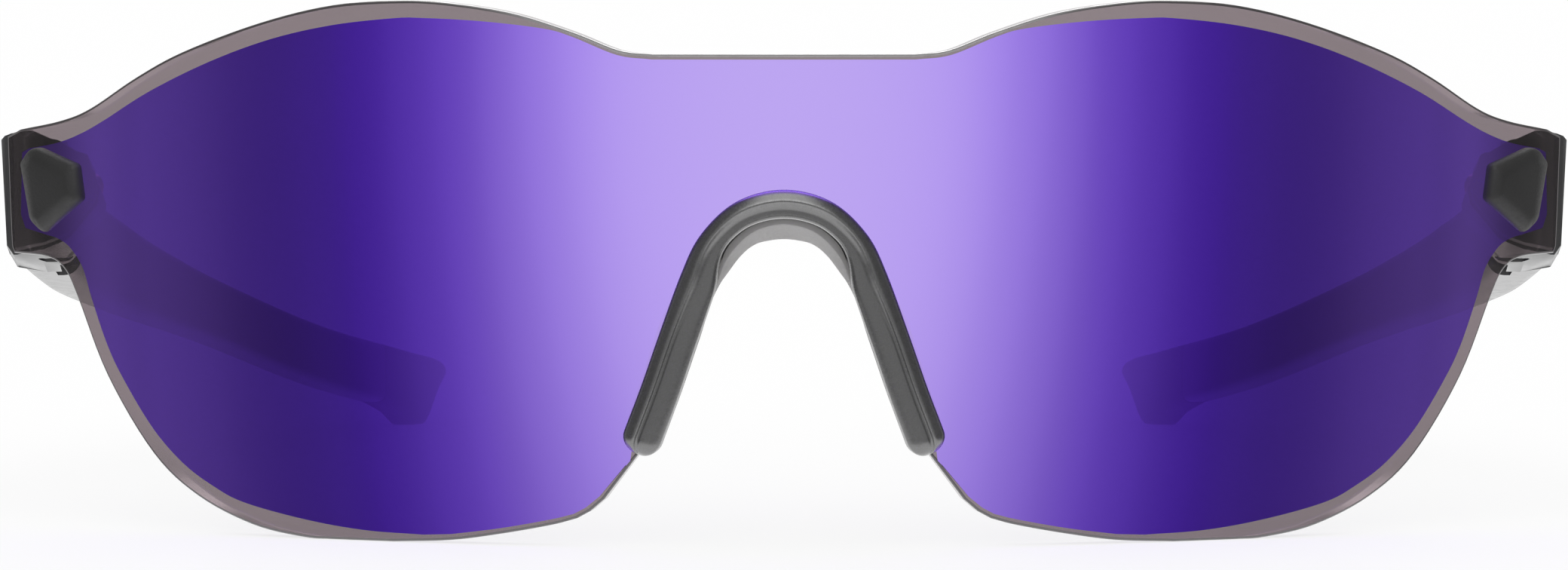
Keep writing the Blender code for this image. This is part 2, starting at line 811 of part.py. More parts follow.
def shape_hinge_end(arm, side, word):
    """Clears the ears out of the arm's front end and gives it a bored knuckle."""
    axis = upright(hinge_x(), hinge_y(), 0)
    knuckle_top = knuckle_foot() + KNUCKLE_HEIGHT
    room = KNUCKLE_RADIUS + GAP
    floor = lower_ear_foot() - GAP
    for place, low, high in (("lower", floor, knuckle_foot()), ("upper", knuckle_top, LENS_HEIGHT)):
        space = turned(((room, low), (room, high)), axis)
        combine(arm, guide(f"{word}_{place}_ear_cutter", mirrored(space, side)), "DIFFERENCE")
    inboard = hinge_x() - KNUCKLE_RADIUS - OVERRUN
    ahead = rear_y() - OVERRUN
    heel_end = hinge_y() + room + GAP
    for place, behind, high in (("corner", hinge_y(), LENS_HEIGHT), ("heel", heel_end, lower_ear_foot())):
        plan = ((inboard, behind), (inboard, ahead), (hinge_x(), ahead), (hinge_x(), behind))
        notch = plan_plate(plan, 0, high)
        combine(arm, guide(f"{word}_{place}_cutter", mirrored(notch, side)), "DIFFERENCE")
    knuckle = turned(((KNUCKLE_RADIUS, knuckle_foot()), (KNUCKLE_RADIUS, knuckle_top)), axis)
    combine(arm, guide(f"{word}_knuckle_guide", mirrored(knuckle, side)), "UNION")
    bore_radius = PIN_RADIUS + ROUND_GAP
    bore = turned(((bore_radius, lower_ear_foot()), (bore_radius, LENS_HEIGHT)), axis)
    combine(arm, guide(f"{word}_knuckle_bore_cutter", mirrored(bore, side)), "DIFFERENCE")


def make_tip(side, word, mat):
    """The soft sleeve, with a foot bump that is flat where it stands."""
    split = tip_start() + GAP / ARM_LENGTH
    rings = []
    for k in range(TIP_STATIONS + 1):
        share = k / TIP_STATIONS
        way = split + (1 - split) * share
        width, height = arm_size(way)
        rounding = value_at(TIP_ROUNDING_SHARES, share)
        top = arm_underside(way) + height
        foot = arm_underside(way) - TIP_BUMP * value_at(TIP_BUMP_SHARES, share)
        draw_in = (top - foot) * (1 - rounding) / 2
        rings.append(arm_ring(way, foot + draw_in, top - draw_in, width * rounding, TIP_SLANT * share))
    for point in (p for ring in rings for p in ring):
        point.z = max(point.z, 0)
    tip = solid(f"{word}_temple_tip", mirrored(loft(rings), side), mat)
    core_end = 1 - (TIP_SLANT + TIP_WALL - GAP) / ARM_LENGTH
    space = arm_rings(tip_start() - GAP / ARM_LENGTH, core_end, CORE_STATIONS, TIP_WALL - GAP)
    combine(tip, guide(f"{word}_core_cutter", mirrored(loft(space), side)), "DIFFERENCE")
    return tip


def make_pin(side, word, mat):
    head_foot = ear_top() + GAP
    profile = (
        (PIN_RADIUS, lower_ear_foot()),
        (PIN_RADIUS, head_foot),
        (PIN_HEAD_RADIUS, head_foot),
        (PIN_HEAD_RADIUS, head_foot + PIN_HEAD_HEIGHT),
    )
    pin = turned(profile, upright(hinge_x(), hinge_y(), 0))
    solid(f"{word}_hinge_pin", mirrored(pin, side), mat)


def hang(piece, pivot):
    """Gives a moving piece its origin on the hinge axis and parents it to the pivot."""
    piece.data.transform(Matrix.Translation(-pivot.location))
    piece.parent = pivot


def make_pivot(side, word):
    pivot = bpy.data.objects.new(f"{word}_hinge_pivot", None)
    pivot.location = (side * hinge_x(), hinge_y(), knuckle_foot() + KNUCKLE_HEIGHT / 2)
    bpy.context.scene.collection.objects.link(pivot)
    return pivot


def main():
    clear_scene()
    violet = finish("violet_mirror", (0.13, 0.05, 0.42), 0.05, 0.6)
    rail = finish("rail_plastic", (0.05, 0.05, 0.05), 0.35)
    rubber = finish("soft_rubber", (0.06, 0.06, 0.058), 0.7)
    gloss = finish("gloss_plastic", (0.03, 0.03, 0.032), 0.2)
    steel = finish("steel", (0.6, 0.6, 0.62), 0.3, 1.0)
    brass = finish("brass", (0.7, 0.52, 0.25), 0.35, 1.0)
    nylon = finish("nylon", (0.8, 0.8, 0.78), 0.5)
    make_lens(violet)
    make_nosepiece(rail, rubber)
    for side, word in ((1, "left"), (-1, "right")):
        make_block(side, word, gloss)
        make_seat(side, word, rubber)
        make_lens_fixing(side, word, steel, brass, nylon, rail)
        make_pin(side, word, steel)
        pivot = make_pivot(side, word)
        hang(make_arm(side, word, gloss), pivot)
        hang(make_tip(side, word, rubber), pivot)


main()
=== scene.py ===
"""Rimless shield sunglasses with a violet mirrored lens, standing on a white table.

Metres, +Z up, the front faces -Y. The pieces that follow the lens are drawn flat: s runs along
its front surface from the middle, z is the height, and depth goes into it from the front.
"""

import math

import bmesh
import bpy
from mathutils import Matrix, Vector


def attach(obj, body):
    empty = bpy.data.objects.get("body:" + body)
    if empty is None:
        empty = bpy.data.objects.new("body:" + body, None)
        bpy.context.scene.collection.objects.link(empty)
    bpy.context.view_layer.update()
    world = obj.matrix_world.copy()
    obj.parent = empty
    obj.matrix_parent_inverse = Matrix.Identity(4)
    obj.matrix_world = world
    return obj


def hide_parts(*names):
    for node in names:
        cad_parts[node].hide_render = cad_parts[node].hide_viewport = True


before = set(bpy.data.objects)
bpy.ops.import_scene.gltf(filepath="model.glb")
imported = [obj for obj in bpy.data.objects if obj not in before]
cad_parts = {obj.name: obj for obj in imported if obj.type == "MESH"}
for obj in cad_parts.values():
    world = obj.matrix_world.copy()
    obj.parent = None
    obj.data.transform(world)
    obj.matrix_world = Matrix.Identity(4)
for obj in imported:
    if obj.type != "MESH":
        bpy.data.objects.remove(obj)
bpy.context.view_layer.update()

# Camera: the photograph's focal length in its own pixels, and where it stands
PHOTO_WIDTH = 2080
FOCAL_PIXELS = 7602
SENSOR_WIDTH_MM = 36
CAMERA_PLACE = (0, -0.5653, 0.050)
CAMERA_DOWN = math.radians(3.14)

# Clearances
GAP = 0.0003
ROUND_GAP = 0.00018
SNUG = 0.00005
OVERRUN = 0.002
MERGE_REACH = 1e-7

# Lens
LENS_SIDE_LENGTH = 0.0765
LENS_HEIGHT = 0.0474
LENS_THICKNESS = 0.0022
LENS_EDGE_RADIUS = 0.00025
LENS_EDGE_TURNS = (math.radians(30), math.radians(60), math.radians(90))
WRAP_RADIUS = 0.110
BOW_RADIUS = 0.450
LENS_FACET = 0.0012
LENS_HOLE_RADIUS = 0.0013

# Outline of the lens's right half, as shares of its side length and of its height
BRIDGE_MIDDLE_SHARES = ((0, 0.903),)
TOP_SHARES = (
    (0.150, 0.903), (0.188, 0.910), (0.242, 0.943), (0.312, 0.977), (0.384, 0.995), (0.445, 1.0),
    (0.533, 0.991), (0.627, 0.958), (0.732, 0.903), (0.799, 0.854), (0.867, 0.795), (0.915, 0.770),
    (0.981, 0.752),
)
TAB_END_SHARES = ((1.003, 0.738), (0.995, 0.528))
UNDER_SHARES = (
    (0.991, 0.515), (0.936, 0.510), (0.908, 0.489), (0.887, 0.436), (0.842, 0.289), (0.776, 0.146),
    (0.714, 0.070), (0.640, 0.021), (0.574, 0.002), (0.536, 0),
)
LOBE_SHARES = ((0.458, 0), (0.387, 0.006), (0.327, 0.020), (0.268, 0.038), (0.238, 0.051))
LOBE_CORNER_SHARES = ((0.222, 0.065), (0.206, 0.087), (0.1655, 0.172))
NOTCH_SHARES = (
    (0.1634, 0.2053), (0.1438, 0.288), (0.120, 0.397), (0.096, 0.493), (0.0756, 0.555),
    (0.043, 0.6036), (0, 0.621),
)
CURVE_STEPS = 6
CROWN_STEPS = 2
SADDLE_STEPS = 5

# Outline of the mirror coating's right half, which stops short of the lens's edge
COATING_MIDDLE_SHARES = ((0, 0.893),)
COATING_TOP_SHARES = (
    (0.150, 0.893), (0.190, 0.901), (0.242, 0.934), (0.276, 0.949), (0.348, 0.962), (0.421, 0.968),
    (0.458, 0.967), (0.533, 0.954), (0.611, 0.928), (0.692, 0.886), (0.777, 0.829), (0.843, 0.774),
    (0.880, 0.747), (0.918, 0.728), (0.964, 0.716),
)
COATING_END_SHARES = ((0.976, 0.708), (0.9775, 0.590), (0.970, 0.564))
COATING_UNDER_SHARES = (
    (0.936, 0.553), (0.916, 0.546), (0.897, 0.530), (0.877, 0.492), (0.864, 0.437), (0.841, 0.350),
    (0.818, 0.287), (0.775, 0.194), (0.733, 0.131), (0.692, 0.091), (0.651, 0.063), (0.571, 0.036),
    (0.495, 0.020), (0.421, 0.015),
)
COATING_LOBE_SHARES = ((0.387, 0.0175), (0.327, 0.031), (0.268, 0.049), (0.241, 0.060))
COATING_CORNER_SHARES = ((0.227, 0.072), (0.211, 0.093), (0.1752, 0.159), (0.1725, 0.189))
COATING_NOTCH_SHARES = (
    (0.1684, 0.207), (0.1488, 0.290), (0.125, 0.399), (0.101, 0.497), (0.0801, 0.562),
    (0.0455, 0.613), (0, 0.631),
)

# Nose rail, which grips the cut-out's edge. Across is outwards over the lens
RAIL_ARCH_LAP = 0.00168
RAIL_LEG_LAP = 0.00143
RAIL_RISE = 0.0015
RAIL_REACH = 0.0021
RAIL_FRONT_DEPTH = 0.0009
TONGUE_THICKNESS = 0.0006
HOOK_LAP = 0.0009
HOOK_THICKNESS = 0.0008

# How far the rail reaches into the cut-out: share of the lens's height, share of the reach
RAIL_REACH_SHARES = (
    (0.20, 0.94), (0.39, 0.90), (0.46, 0.84), (0.49, 0.77), (0.523, 0.54), (0.561, 0.34),
    (0.59, 0.34), (0.621, 0.39),
)

# The rail's front over the arch and down the legs: shares of its width, inwards, and of its rise
RAIL_ARCH_SHARES = (
    (0, 0.2), (0.013, 0.45), (0.064, 0.68), (0.17, 0.86), (0.30, 0.97), (0.383, 1), (0.425, 0.97),
    (0.49, 0.86), (0.575, 0.75), (0.68, 0.69), (0.80, 0.68), (0.85, 0.69), (0.895, 0.69),
    (0.945, 0.64), (0.985, 0.5), (1, 0.2),
)
RAIL_LEG_SHARES = (
    (0, 0.2), (0.01, 0.45), (0.04, 0.70), (0.12, 0.86), (0.24, 0.97), (0.31, 1), (0.346, 0.95),
    (0.38, 0.84), (0.41, 0.80), (0.455, 0.80), (0.505, 0.82), (0.757, 0.78), (0.89, 0.72),
    (0.973, 0.62), (0.995, 0.5), (1, 0.2),
)
LEG_START_SHARE = 0.57
LEG_FULL_SHARE = 0.37

# The nosepiece's ends: how far they reach past the cut-out, and what they close round
RAIL_END_REACH = 0.00155
PAD_END_REACH = 0.00048
NOSE_END_INSET = 0.0005
NOSE_END_TURN = math.radians(86)
NOSE_END_STEPS = 8

# Nose saddle, the soft pad behind the rail. Its inner edges, as shares of the rail's reach
PAD_DEPTH = 0.0082
PAD_WING = 0.0011
PAD_LAP = 0.0012
PAD_EDGE_SHARES = (0.96, 0.93)
PAD_FRONT_SHARES = (
    (0.20, 0.92), (0.39, 0.92), (0.46, 0.81), (0.50, 0.73), (0.54, 0.66), (0.621, 0.66),
)
PAD_REAR_SHARES = (
    (0.20, -0.476), (0.36, -0.476), (0.39, -0.24), (0.443, 0.29), (0.49, 0.71), (0.525, 0.93),
    (0.574, 1.10), (0.621, 1.42),
)
PAD_ROUNDING = 0.00025

# Rubber seat between lens and corner block
SEAT_THICKNESS = 0.0005
SEAT_INSET = 0.0002
SEAT_ROUNDING = 0.00015

# Corner block
BLOCK_OVERHANG = 0.0013
BLOCK_WIDTH = 0.0100
BLOCK_HEIGHT = 0.0116
BLOCK_MIDDLE_SHARE = 0.6287
BLOCK_THICKNESS = 0.0039
BLOCK_REAR = 0.0070
BLOCK_TOP_SLOPE = 0.22
BLOCK_FOOT_SLOPE = 0.48
BLOCK_FACE_SHARES = (
    (1, 0.905), (0.955, 0.94), (0.89, 0.96), (0.67, 0.985), (0.41, 0.915), (0.125, 0.81),
    (0.06, 0.68), (0, 0.55), (0.03, 0.42), (0.41, 0.11), (0.61, 0.05), (0.88, 0), (0.95, 0.07),
)
BLOCK_ROUNDING = 0.0004

# Oval slot in the block's underside, from the hinge inwards and from the block's rear ahead
SLOT_OFFSET = 0.0006
SLOT_AHEAD = 0.0027
SLOT_HALF_LENGTH = 0.0016
SLOT_NARROW_SHARE = 0.28
SLOT_DEPTH = 0.0004

# Hinge
KNUCKLE_RADIUS = 0.0019
HINGE_BACKSET = 0.0010
KNUCKLE_RISE = 0.0027
KNUCKLE_HEIGHT = 0.0036
EAR_HEIGHT = 0.0028
EAR_ROOT = 0.0020
EAR_TURN = math.radians(65)
EAR_TURN_STEPS = 8
NECK_SHARE = 1.2
PIN_RADIUS = 0.0007
PIN_HEAD_RADIUS = 0.00125
PIN_HEAD_HEIGHT = 0.0006
PIN_DOME_SHARE = 0.3
PIN_SLOT_DEPTH_SHARE = 0.55
PIN_SLOT_WIDTH_SHARE = 0.17

# Lens screw
SCREW_INSET = 0.0058
SCREW_UP_SHARE = 0.55
SCREW_HEAD_RADIUS = 0.0015
SCREW_HEAD_HEIGHT = 0.0007
INSERT_LENGTH = 0.0020
INSERT_RADIUS = 0.00122

# Cap in front of each tab. Its foot and face outlines run across and up from the screw
CAP_WALL_RISE = 0.0010
CAP_RISE = 0.0016
CAP_ROUNDING = 0.00038
CAP_WIDTH = 0.0072
CAP_HEIGHT = 0.0078
CAP_FOOT_SHARES = (
    (0.097, 0.481), (-0.558, 0.295), (-0.633, -0.109), (0.027, -0.513), (0.249, -0.372),
    (0.416, 0.295), (0.263, 0.455),
)
CAP_FACE_SHARES = (
    (0.069, 0.353), (-0.431, 0.173), (-0.501, -0.058), (0.048, -0.378), (0.111, -0.314),
    (0.208, 0.244), (0.173, 0.333),
)

# Temple arm, and its width, height and fall at shares of its length
ARM_LENGTH = 0.1107
ARM_SETBACK = 0.0010
ARM_FRONT_WIDTH = 0.0054
ARM_FRONT_HEIGHT = 0.0114
ARM_FRONT_DROP = 0.0014
ARM_INWARD_REACH = 0.0295
ARM_INWARD_START_SHARE = 0.27
ARM_WIDTH_SHARES = ((0, 1), (0.12, 0.98), (0.3, 0.82), (0.55, 0.67), (0.8, 0.62), (1, 0.62))
ARM_HEIGHT_SHARES = (
    (0, 1), (0.06, 0.91), (0.12, 0.79), (0.24, 0.71), (0.36, 0.63), (0.5, 0.562), (0.75, 0.556),
    (0.95, 0.566), (1, 0.53),
)
ARM_FALL_SHARES = (
    (0, 0), (0.06, 0.072), (0.12, 0.137), (0.24, 0.238), (0.5, 0.463), (0.75, 0.747), (0.87, 0.870),
    (0.95, 0.95), (1, 0.98),
)
ARM_STATIONS = 66
ARM_CORNER_SHARE = 0.3
CORNER_STEPS = 6

# Soft sleeve on the arm's end
TIP_LENGTH = 0.0150
TIP_WALL = 0.0009
TIP_SLANT = 0.0044
TIP_ROUNDING_SHARES = ((0, 0.985), (0.03, 1), (0.75, 1), (0.88, 0.96), (0.95, 0.87), (1, 0.70))
TIP_BUMP_SHARES = (
    (0, 0), (0.25, 0.04), (0.45, 0.18), (0.62, 0.64), (0.75, 0.96), (0.85, 0.75), (1, -0.4),
)
TIP_BUMP = 0.0013
TIP_ROUNDING = 0.0003
TIP_STATIONS = 48
CORE_STATIONS = 6

# Fineness
ROUND_SIDES = 48
SHELL_STEPS = 20

# From which angle an edge stays sharp, and from which a corner is rounded
SMOOTH_ANGLE = math.radians(32)
LENS_SMOOTH_ANGLE = math.radians(10)
RAIL_SMOOTH_ANGLE = math.radians(40)
PAD_SMOOTH_ANGLE = math.radians(60)
TIP_SMOOTH_ANGLE = math.radians(40)
CAP_CORNER = math.radians(20)
BLOCK_CORNER = math.radians(28)
PAD_CORNER = math.radians(30)
SEAT_CORNER = math.radians(35)
TIP_CORNER = math.radians(50)


# Places on the wrapped lens


def bow(z):
    """How far the lens falls back at height z, from its vertical bow."""
    return BOW_RADIUS - math.sqrt(BOW_RADIUS**2 - (z - LENS_HEIGHT / 2) ** 2)


def lens_end_back():
    return WRAP_RADIUS * (1 - math.cos(LENS_SIDE_LENGTH / WRAP_RADIUS))


FRONT_Y = (RAIL_RISE + GAP - lens_end_back() - BLOCK_REAR - GAP - ARM_LENGTH) / 2


def lens_point(s, z, depth):
    turn = s / WRAP_RADIUS
    reach = WRAP_RADIUS - depth - bow(z)
    return Vector((reach * math.sin(turn), FRONT_Y + WRAP_RADIUS - reach * math.cos(turn), z))


def lens_axes(s, z, depth):
    """Axes at a point of the lens: x along it, y up, z out of its front."""
    turn = s / WRAP_RADIUS
    along = Vector((math.cos(turn), math.sin(turn), 0))
    up = Vector((0, 0, 1))
    axes = Matrix((along, up, along.cross(up))).transposed().to_4x4()
    axes.translation = lens_point(s, z, depth)
    return axes


def on_share(shares):
    return [(s * LENS_SIDE_LENGTH, z * LENS_HEIGHT) for s, z in shares]


def between(start, end, share):
    return start + (end - start) * share


def value_at(pairs, at):
    """Smooth value through (place, value) pairs, by cubic steps that keep each pair's slope."""
    last = len(pairs) - 1
    k = next((i for i in range(last) if at <= pairs[i + 1][0]), last - 1)
    (x0, y0), (x1, y1) = pairs[k], pairs[k + 1]

    def slope(i):
        lo, hi = max(i - 1, 0), min(i + 1, last)
        return (pairs[hi][1] - pairs[lo][1]) / (pairs[hi][0] - pairs[lo][0])

    t = (at - x0) / (x1 - x0)
    span = x1 - x0
    return (
        (2 * t**3 - 3 * t**2 + 1) * y0
        + (t**3 - 2 * t**2 + t) * span * slope(k)
        + (3 * t**2 - 2 * t**3) * y1
        + (t**3 - t**2) * span * slope(k + 1)
    )


def curve_through(points, steps=CURVE_STEPS):
    """Points on a smooth curve through the given ones, ends included."""
    run = [Vector(p) for p in points]
    run = [2 * run[0] - run[1]] + run + [2 * run[-1] - run[-2]]
    out = []
    for k in range(1, len(run) - 2):
        before, start, end, after = run[k - 1 : k + 3]
        for step in range(steps):
            t = step / steps
            out.append(
                0.5
                * (
                    2 * start
                    + (end - before) * t
                    + (2 * before - 5 * start + 4 * end - after) * t**2
                    + (3 * start - before - 3 * end + after) * t**3
                )
            )
    out.append(run[-2])
    return [tuple(p) for p in out]


def whole(half):
    """A full outline from its right half, seen from the front and turning left first."""
    other = [(-s, z) for s, z in reversed(half[1:-1])]
    return list(reversed(half + other))


def arch_over(shares, steps=CURVE_STEPS):
    """A smooth arch from its lower right end, level over the middle, to its lower left end."""
    half = on_share(shares)
    return curve_through(half + [(-s, z) for s, z in reversed(half[:-1])], steps)


def right_half(arch):
    return arch[: len(arch) // 2 + 1]


def lens_outline():
    half = on_share(BRIDGE_MIDDLE_SHARES)
    half += curve_through(on_share(TOP_SHARES))
    half += on_share(TAB_END_SHARES)
    half += curve_through(on_share(UNDER_SHARES))
    half += curve_through(on_share(LOBE_SHARES))
    half += on_share(LOBE_CORNER_SHARES)
    half += right_half(arch_over(NOTCH_SHARES))
    return whole(half)


def coating_outline():
    half = on_share(COATING_MIDDLE_SHARES)
    half += curve_through(on_share(COATING_TOP_SHARES))
    half += on_share(COATING_END_SHARES)
    half += curve_through(on_share(COATING_UNDER_SHARES))
    half += curve_through(on_share(COATING_LOBE_SHARES))
    half += on_share(COATING_CORNER_SHARES)
    half += right_half(arch_over(COATING_NOTCH_SHARES))
    return whole(half)


# Working on pieces by hand


def only(piece):
    bpy.ops.object.select_all(action="DESELECT")
    piece.select_set(True)
    bpy.context.view_layer.objects.active = piece


def named(name):
    piece = bpy.context.object
    piece.name = name
    piece.data.name = name
    return piece


def edit(piece, mode="VERT"):
    only(piece)
    bpy.ops.object.mode_set(mode="EDIT")
    bpy.ops.mesh.select_mode(type=mode)


def done():
    bpy.ops.object.mode_set(mode="OBJECT")


def pick(piece, kind, wanted):
    """Selects the vertices, edges or faces of a piece that a test wants, and nothing else."""
    mesh = piece.data
    for part in (mesh.vertices, mesh.edges, mesh.polygons):
        part.foreach_set("select", [False] * len(part))
    for item in getattr(mesh, kind):
        item.select = wanted(item)


def smooth(piece, angle=SMOOTH_ANGLE):
    only(piece)
    bpy.ops.object.shade_smooth_by_angle(angle=angle)


def skin(name, rings):
    """A closed skin through rings of as many points each: a sheet rolled up, its ends filled."""
    count = len(rings[0])
    bpy.ops.mesh.primitive_grid_add(x_subdivisions=count, y_subdivisions=len(rings) - 1, size=1)
    piece = named(name)
    for place, vertex in enumerate(piece.data.vertices):
        row, column = divmod(place, count + 1)
        vertex.co = rings[row][column % count]
    edit(piece)
    bpy.ops.mesh.select_all(action="SELECT")
    bpy.ops.mesh.remove_doubles(threshold=MERGE_REACH)
    bpy.ops.mesh.select_all(action="DESELECT")
    bpy.ops.mesh.select_non_manifold()
    bpy.ops.mesh.fill_holes(sides=0)
    bpy.ops.mesh.select_all(action="SELECT")
    bpy.ops.mesh.normals_make_consistent(inside=False)
    done()
    return piece


def plate(name, plan, low, high):
    return skin(name, [[Vector((x, y, z)) for x, y in plan] for z in (low, high)])


def rod(name, radius, low, high, axes):
    """A cylinder about an axis frame's z."""
    middle = (low + high) / 2
    bpy.ops.mesh.primitive_cylinder_add(vertices=ROUND_SIDES, radius=radius, depth=high - low)
    piece = named(name)
    piece.data.transform(axes @ Matrix.Translation((0, 0, middle)))
    return piece


def joined(piece, tool, operation):
    """Cuts, adds or keeps a piece's share of another one, which goes."""
    step = piece.modifiers.new(operation.lower(), "BOOLEAN")
    step.operation = operation
    step.solver = "EXACT"
    step.object = tool
    only(piece)
    bpy.ops.object.modifier_apply(modifier=step.name)
    bpy.data.objects.remove(tool, do_unlink=True)


def rounded(piece, width, angle=SMOOTH_ANGLE, segments=3):
    step = piece.modifiers.new("rounding", "BEVEL")
    step.width = width
    step.segments = segments
    step.limit_method = "ANGLE"
    step.angle_limit = angle
    only(piece)
    bpy.ops.object.modifier_apply(modifier=step.name)


def other_side(piece):
    """A copy for the wearer's right, mirrored, with a mesh of its own."""
    only(piece)
    bpy.ops.object.duplicate()
    twin = named(piece.name.replace("left", "right"))
    twin.data.transform(Matrix.Scale(-1, 4, (1, 0, 0)))
    twin.data.flip_normals()
    return twin


def painted(piece, *finishes):
    piece.data.materials.clear()
    for finish in finishes:
        piece.data.materials.append(finish)


def fitted(piece, body, slot, *nodes):
    """Hangs a finished piece on the body it rides on and hides the CAD parts it stands for; slot is
    not used.
    """
    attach(piece, body)
    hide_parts(*nodes)


# Materials


WHITE = (1, 1, 1, 1)


def recipe(name):
    """A new material's nodes and links, with its output."""
    material = bpy.data.materials.new(name)
    material.use_nodes = True
    tree = material.node_tree
    tree.nodes.clear()
    output = tree.nodes.new("ShaderNodeOutputMaterial")
    return material, tree, output


def node(tree, kind, **inputs):
    made = tree.nodes.new(f"ShaderNode{kind}")
    for name, value in inputs.items():
        put(tree, made, name.replace("_", " "), value)
    return made


def put(tree, made, name, value):
    """Sets one input, or links it where the value is another node's output."""
    socket = made.inputs[int(name)] if name.isdigit() else made.inputs[name]
    if isinstance(value, bpy.types.NodeSocket):
        tree.links.new(value, socket)
    else:
        socket.default_value = value


def noise(tree, scale, detail=3.0, roughness=0.5):
    place = node(tree, "TexCoord").outputs["Object"]
    made = node(tree, "TexNoise", Vector=place, Scale=scale, Detail=detail, Roughness=roughness)
    return made.outputs["Fac"]


def spread(tree, value, low, high, start=0.3, end=0.7):
    """Maps the middle of a noise onto a range."""
    made = node(tree, "MapRange")
    made.interpolation_type = "SMOOTHSTEP"
    for name, number in (("From Min", start), ("From Max", end), ("To Min", low), ("To Max", high)):
        made.inputs[name].default_value = number
    tree.links.new(value, made.inputs["Value"])
    return made.outputs[0]


def blend_colours(tree, share, first, second):
    made = tree.nodes.new("ShaderNodeMix")
    made.data_type = "RGBA"
    put(tree, made, "0", share)
    put(tree, made, "6", first)
    put(tree, made, "7", second)
    return made.outputs[2]


def blend_shaders(tree, share, first, second):
    return node(tree, "MixShader", **{"0": share, "1": first, "2": second}).outputs[0]


def worked_out(tree, operation, *values):
    made = node(tree, "Math", **{str(k): value for k, value in enumerate(values)})
    made.operation = operation
    return made.outputs[0]


# Clouds of colour: scale and detail. Grain: detail and roughness
CLOUDS = (90, 4.0)
GRAIN = (2.0, 0.6)
RELIEF_STRENGTH = 0.6


def moulded(name, dark, light, shine, grain, relief, metallic=0.0, gloss=0.5):
    """Moulded plastic or metal: clouded colour, uneven shine and a fine grained relief."""
    material, tree, output = recipe(name)
    clouds = noise(tree, *CLOUDS)
    fine = noise(tree, grain, *GRAIN)
    bump = node(tree, "Bump", Height=fine, Strength=RELIEF_STRENGTH, Distance=relief)
    shader = node(
        tree,
        "BsdfPrincipled",
        Base_Color=blend_colours(tree, spread(tree, clouds, 0, 1), (*dark, 1), (*light, 1)),
        Roughness=spread(tree, fine, *shine),
        Normal=bump.outputs[0],
        Metallic=metallic,
        Specular_IOR_Level=gloss,
    )
    tree.links.new(shader.outputs[0], output.inputs["Surface"])
    return material


def ramp(tree, value, colours):
    """A colour ramp through (place, colour) pairs."""
    made = tree.nodes.new("ShaderNodeValToRGB")
    made.color_ramp.interpolation = "CARDINAL"
    tree.links.new(value, made.inputs[0])
    stops = made.color_ramp.elements
    stops.remove(stops[1])
    for k, (place, colour) in enumerate(colours):
        stop = stops[0] if k == 0 else stops.new(place)
        stop.position = place
        stop.color = (*colour, 1)
    return made.outputs[0]


# The coating's tints, from face on to a slant: its violet, paled towards white face on as a painted
# highlight of the front light
COATING_TINTS_AND_PAINTED_HIGHLIGHT = (
    (0.0, (0.62, 0.475, 1.0)),
    (0.02, (0.50, 0.34, 1.0)),
    (0.045, (0.33, 0.165, 1.0)),
    (0.075, (0.215, 0.072, 1.0)),
    (0.10, (0.205, 0.067, 1.0)),
    (0.16, (0.34, 0.16, 1.0)),
    (0.28, (0.41, 0.225, 1.0)),
)
COATING_SHINE = (0.02, 0.05)
COATING_GLOSS = 0.3

# Colour of what shows through the coating, and how much it mirrors between two slants
THROUGH_COATING = (0.18, 0.07, 0.97, 1)
COATING_LEVELS = (0.79, 0.86)
COATING_SLANTS = (0.20, 0.27)

# Smudges on both of the lens's materials: scale, detail and roughness
SMUDGES = (60, 4.0, 0.6)


def mirror_coating():
    """Violet interference mirror: paler face on as a painted highlight, deeper at a slant, and a
    little see-through.
    """
    material, tree, output = recipe("violet_mirror_coating")
    facing = node(tree, "LayerWeight", Blend=0.5).outputs["Facing"]
    # Its colour is paled face on: a painted highlight of the front light
    shine = node(
        tree,
        "BsdfPrincipled",
        Base_Color=ramp(tree, facing, COATING_TINTS_AND_PAINTED_HIGHLIGHT),
        Roughness=spread(tree, noise(tree, *SMUDGES), *COATING_SHINE),
        Metallic=1.0,
        Specular_IOR_Level=COATING_GLOSS,
    )
    through = node(tree, "BsdfTransparent", Color=THROUGH_COATING)
    share = spread(tree, facing, *COATING_LEVELS, *COATING_SLANTS)
    mixed = blend_shaders(tree, share, through.outputs[0], shine.outputs[0])
    tree.links.new(mixed, output.inputs["Surface"])
    return material


SMOKE_TINTS = ((0.515, 0.465, 0.48, 1), (0.495, 0.45, 0.465, 1))
SMOKE_SHINE = (0.02, 0.06)
FACE_ON_GLOSS = 0.04
SLANT_POWER = 5.0
HAZE_SCALE = 45
HAZE_COLOUR = (0.5, 0.48, 0.48, 1)
HAZE_SHARE = 0.035


def smoke_tint():
    """One face of the smoky clear plastic: half of its tint, and a plastic's gloss."""
    material, tree, output = recipe("smoke_lens_plastic")
    haze = spread(tree, noise(tree, HAZE_SCALE), 0, 1)
    clear = node(tree, "BsdfTransparent", Color=blend_colours(tree, haze, *SMOKE_TINTS))
    cloudy = node(tree, "BsdfDiffuse", Color=HAZE_COLOUR)
    through = blend_shaders(tree, HAZE_SHARE, clear.outputs[0], cloudy.outputs[0])
    shine = spread(tree, noise(tree, *SMUDGES), *SMOKE_SHINE)
    gloss = node(tree, "BsdfGlossy", Roughness=shine)
    facing = node(tree, "LayerWeight", Blend=0.5).outputs["Facing"]
    slant = worked_out(tree, "POWER", facing, SLANT_POWER)
    share = worked_out(tree, "MULTIPLY_ADD", slant, 1 - FACE_ON_GLOSS, FACE_ON_GLOSS)
    mixed = blend_shaders(tree, share, through, gloss.outputs[0])
    tree.links.new(mixed, output.inputs["Surface"])
    return material


# Lens


def wrap(piece):
    """Bends a flat piece, drawn in s, depth and z, onto the lens."""
    for vertex in piece.data.vertices:
        s, depth, z = vertex.co
        vertex.co = lens_point(s, z, depth)


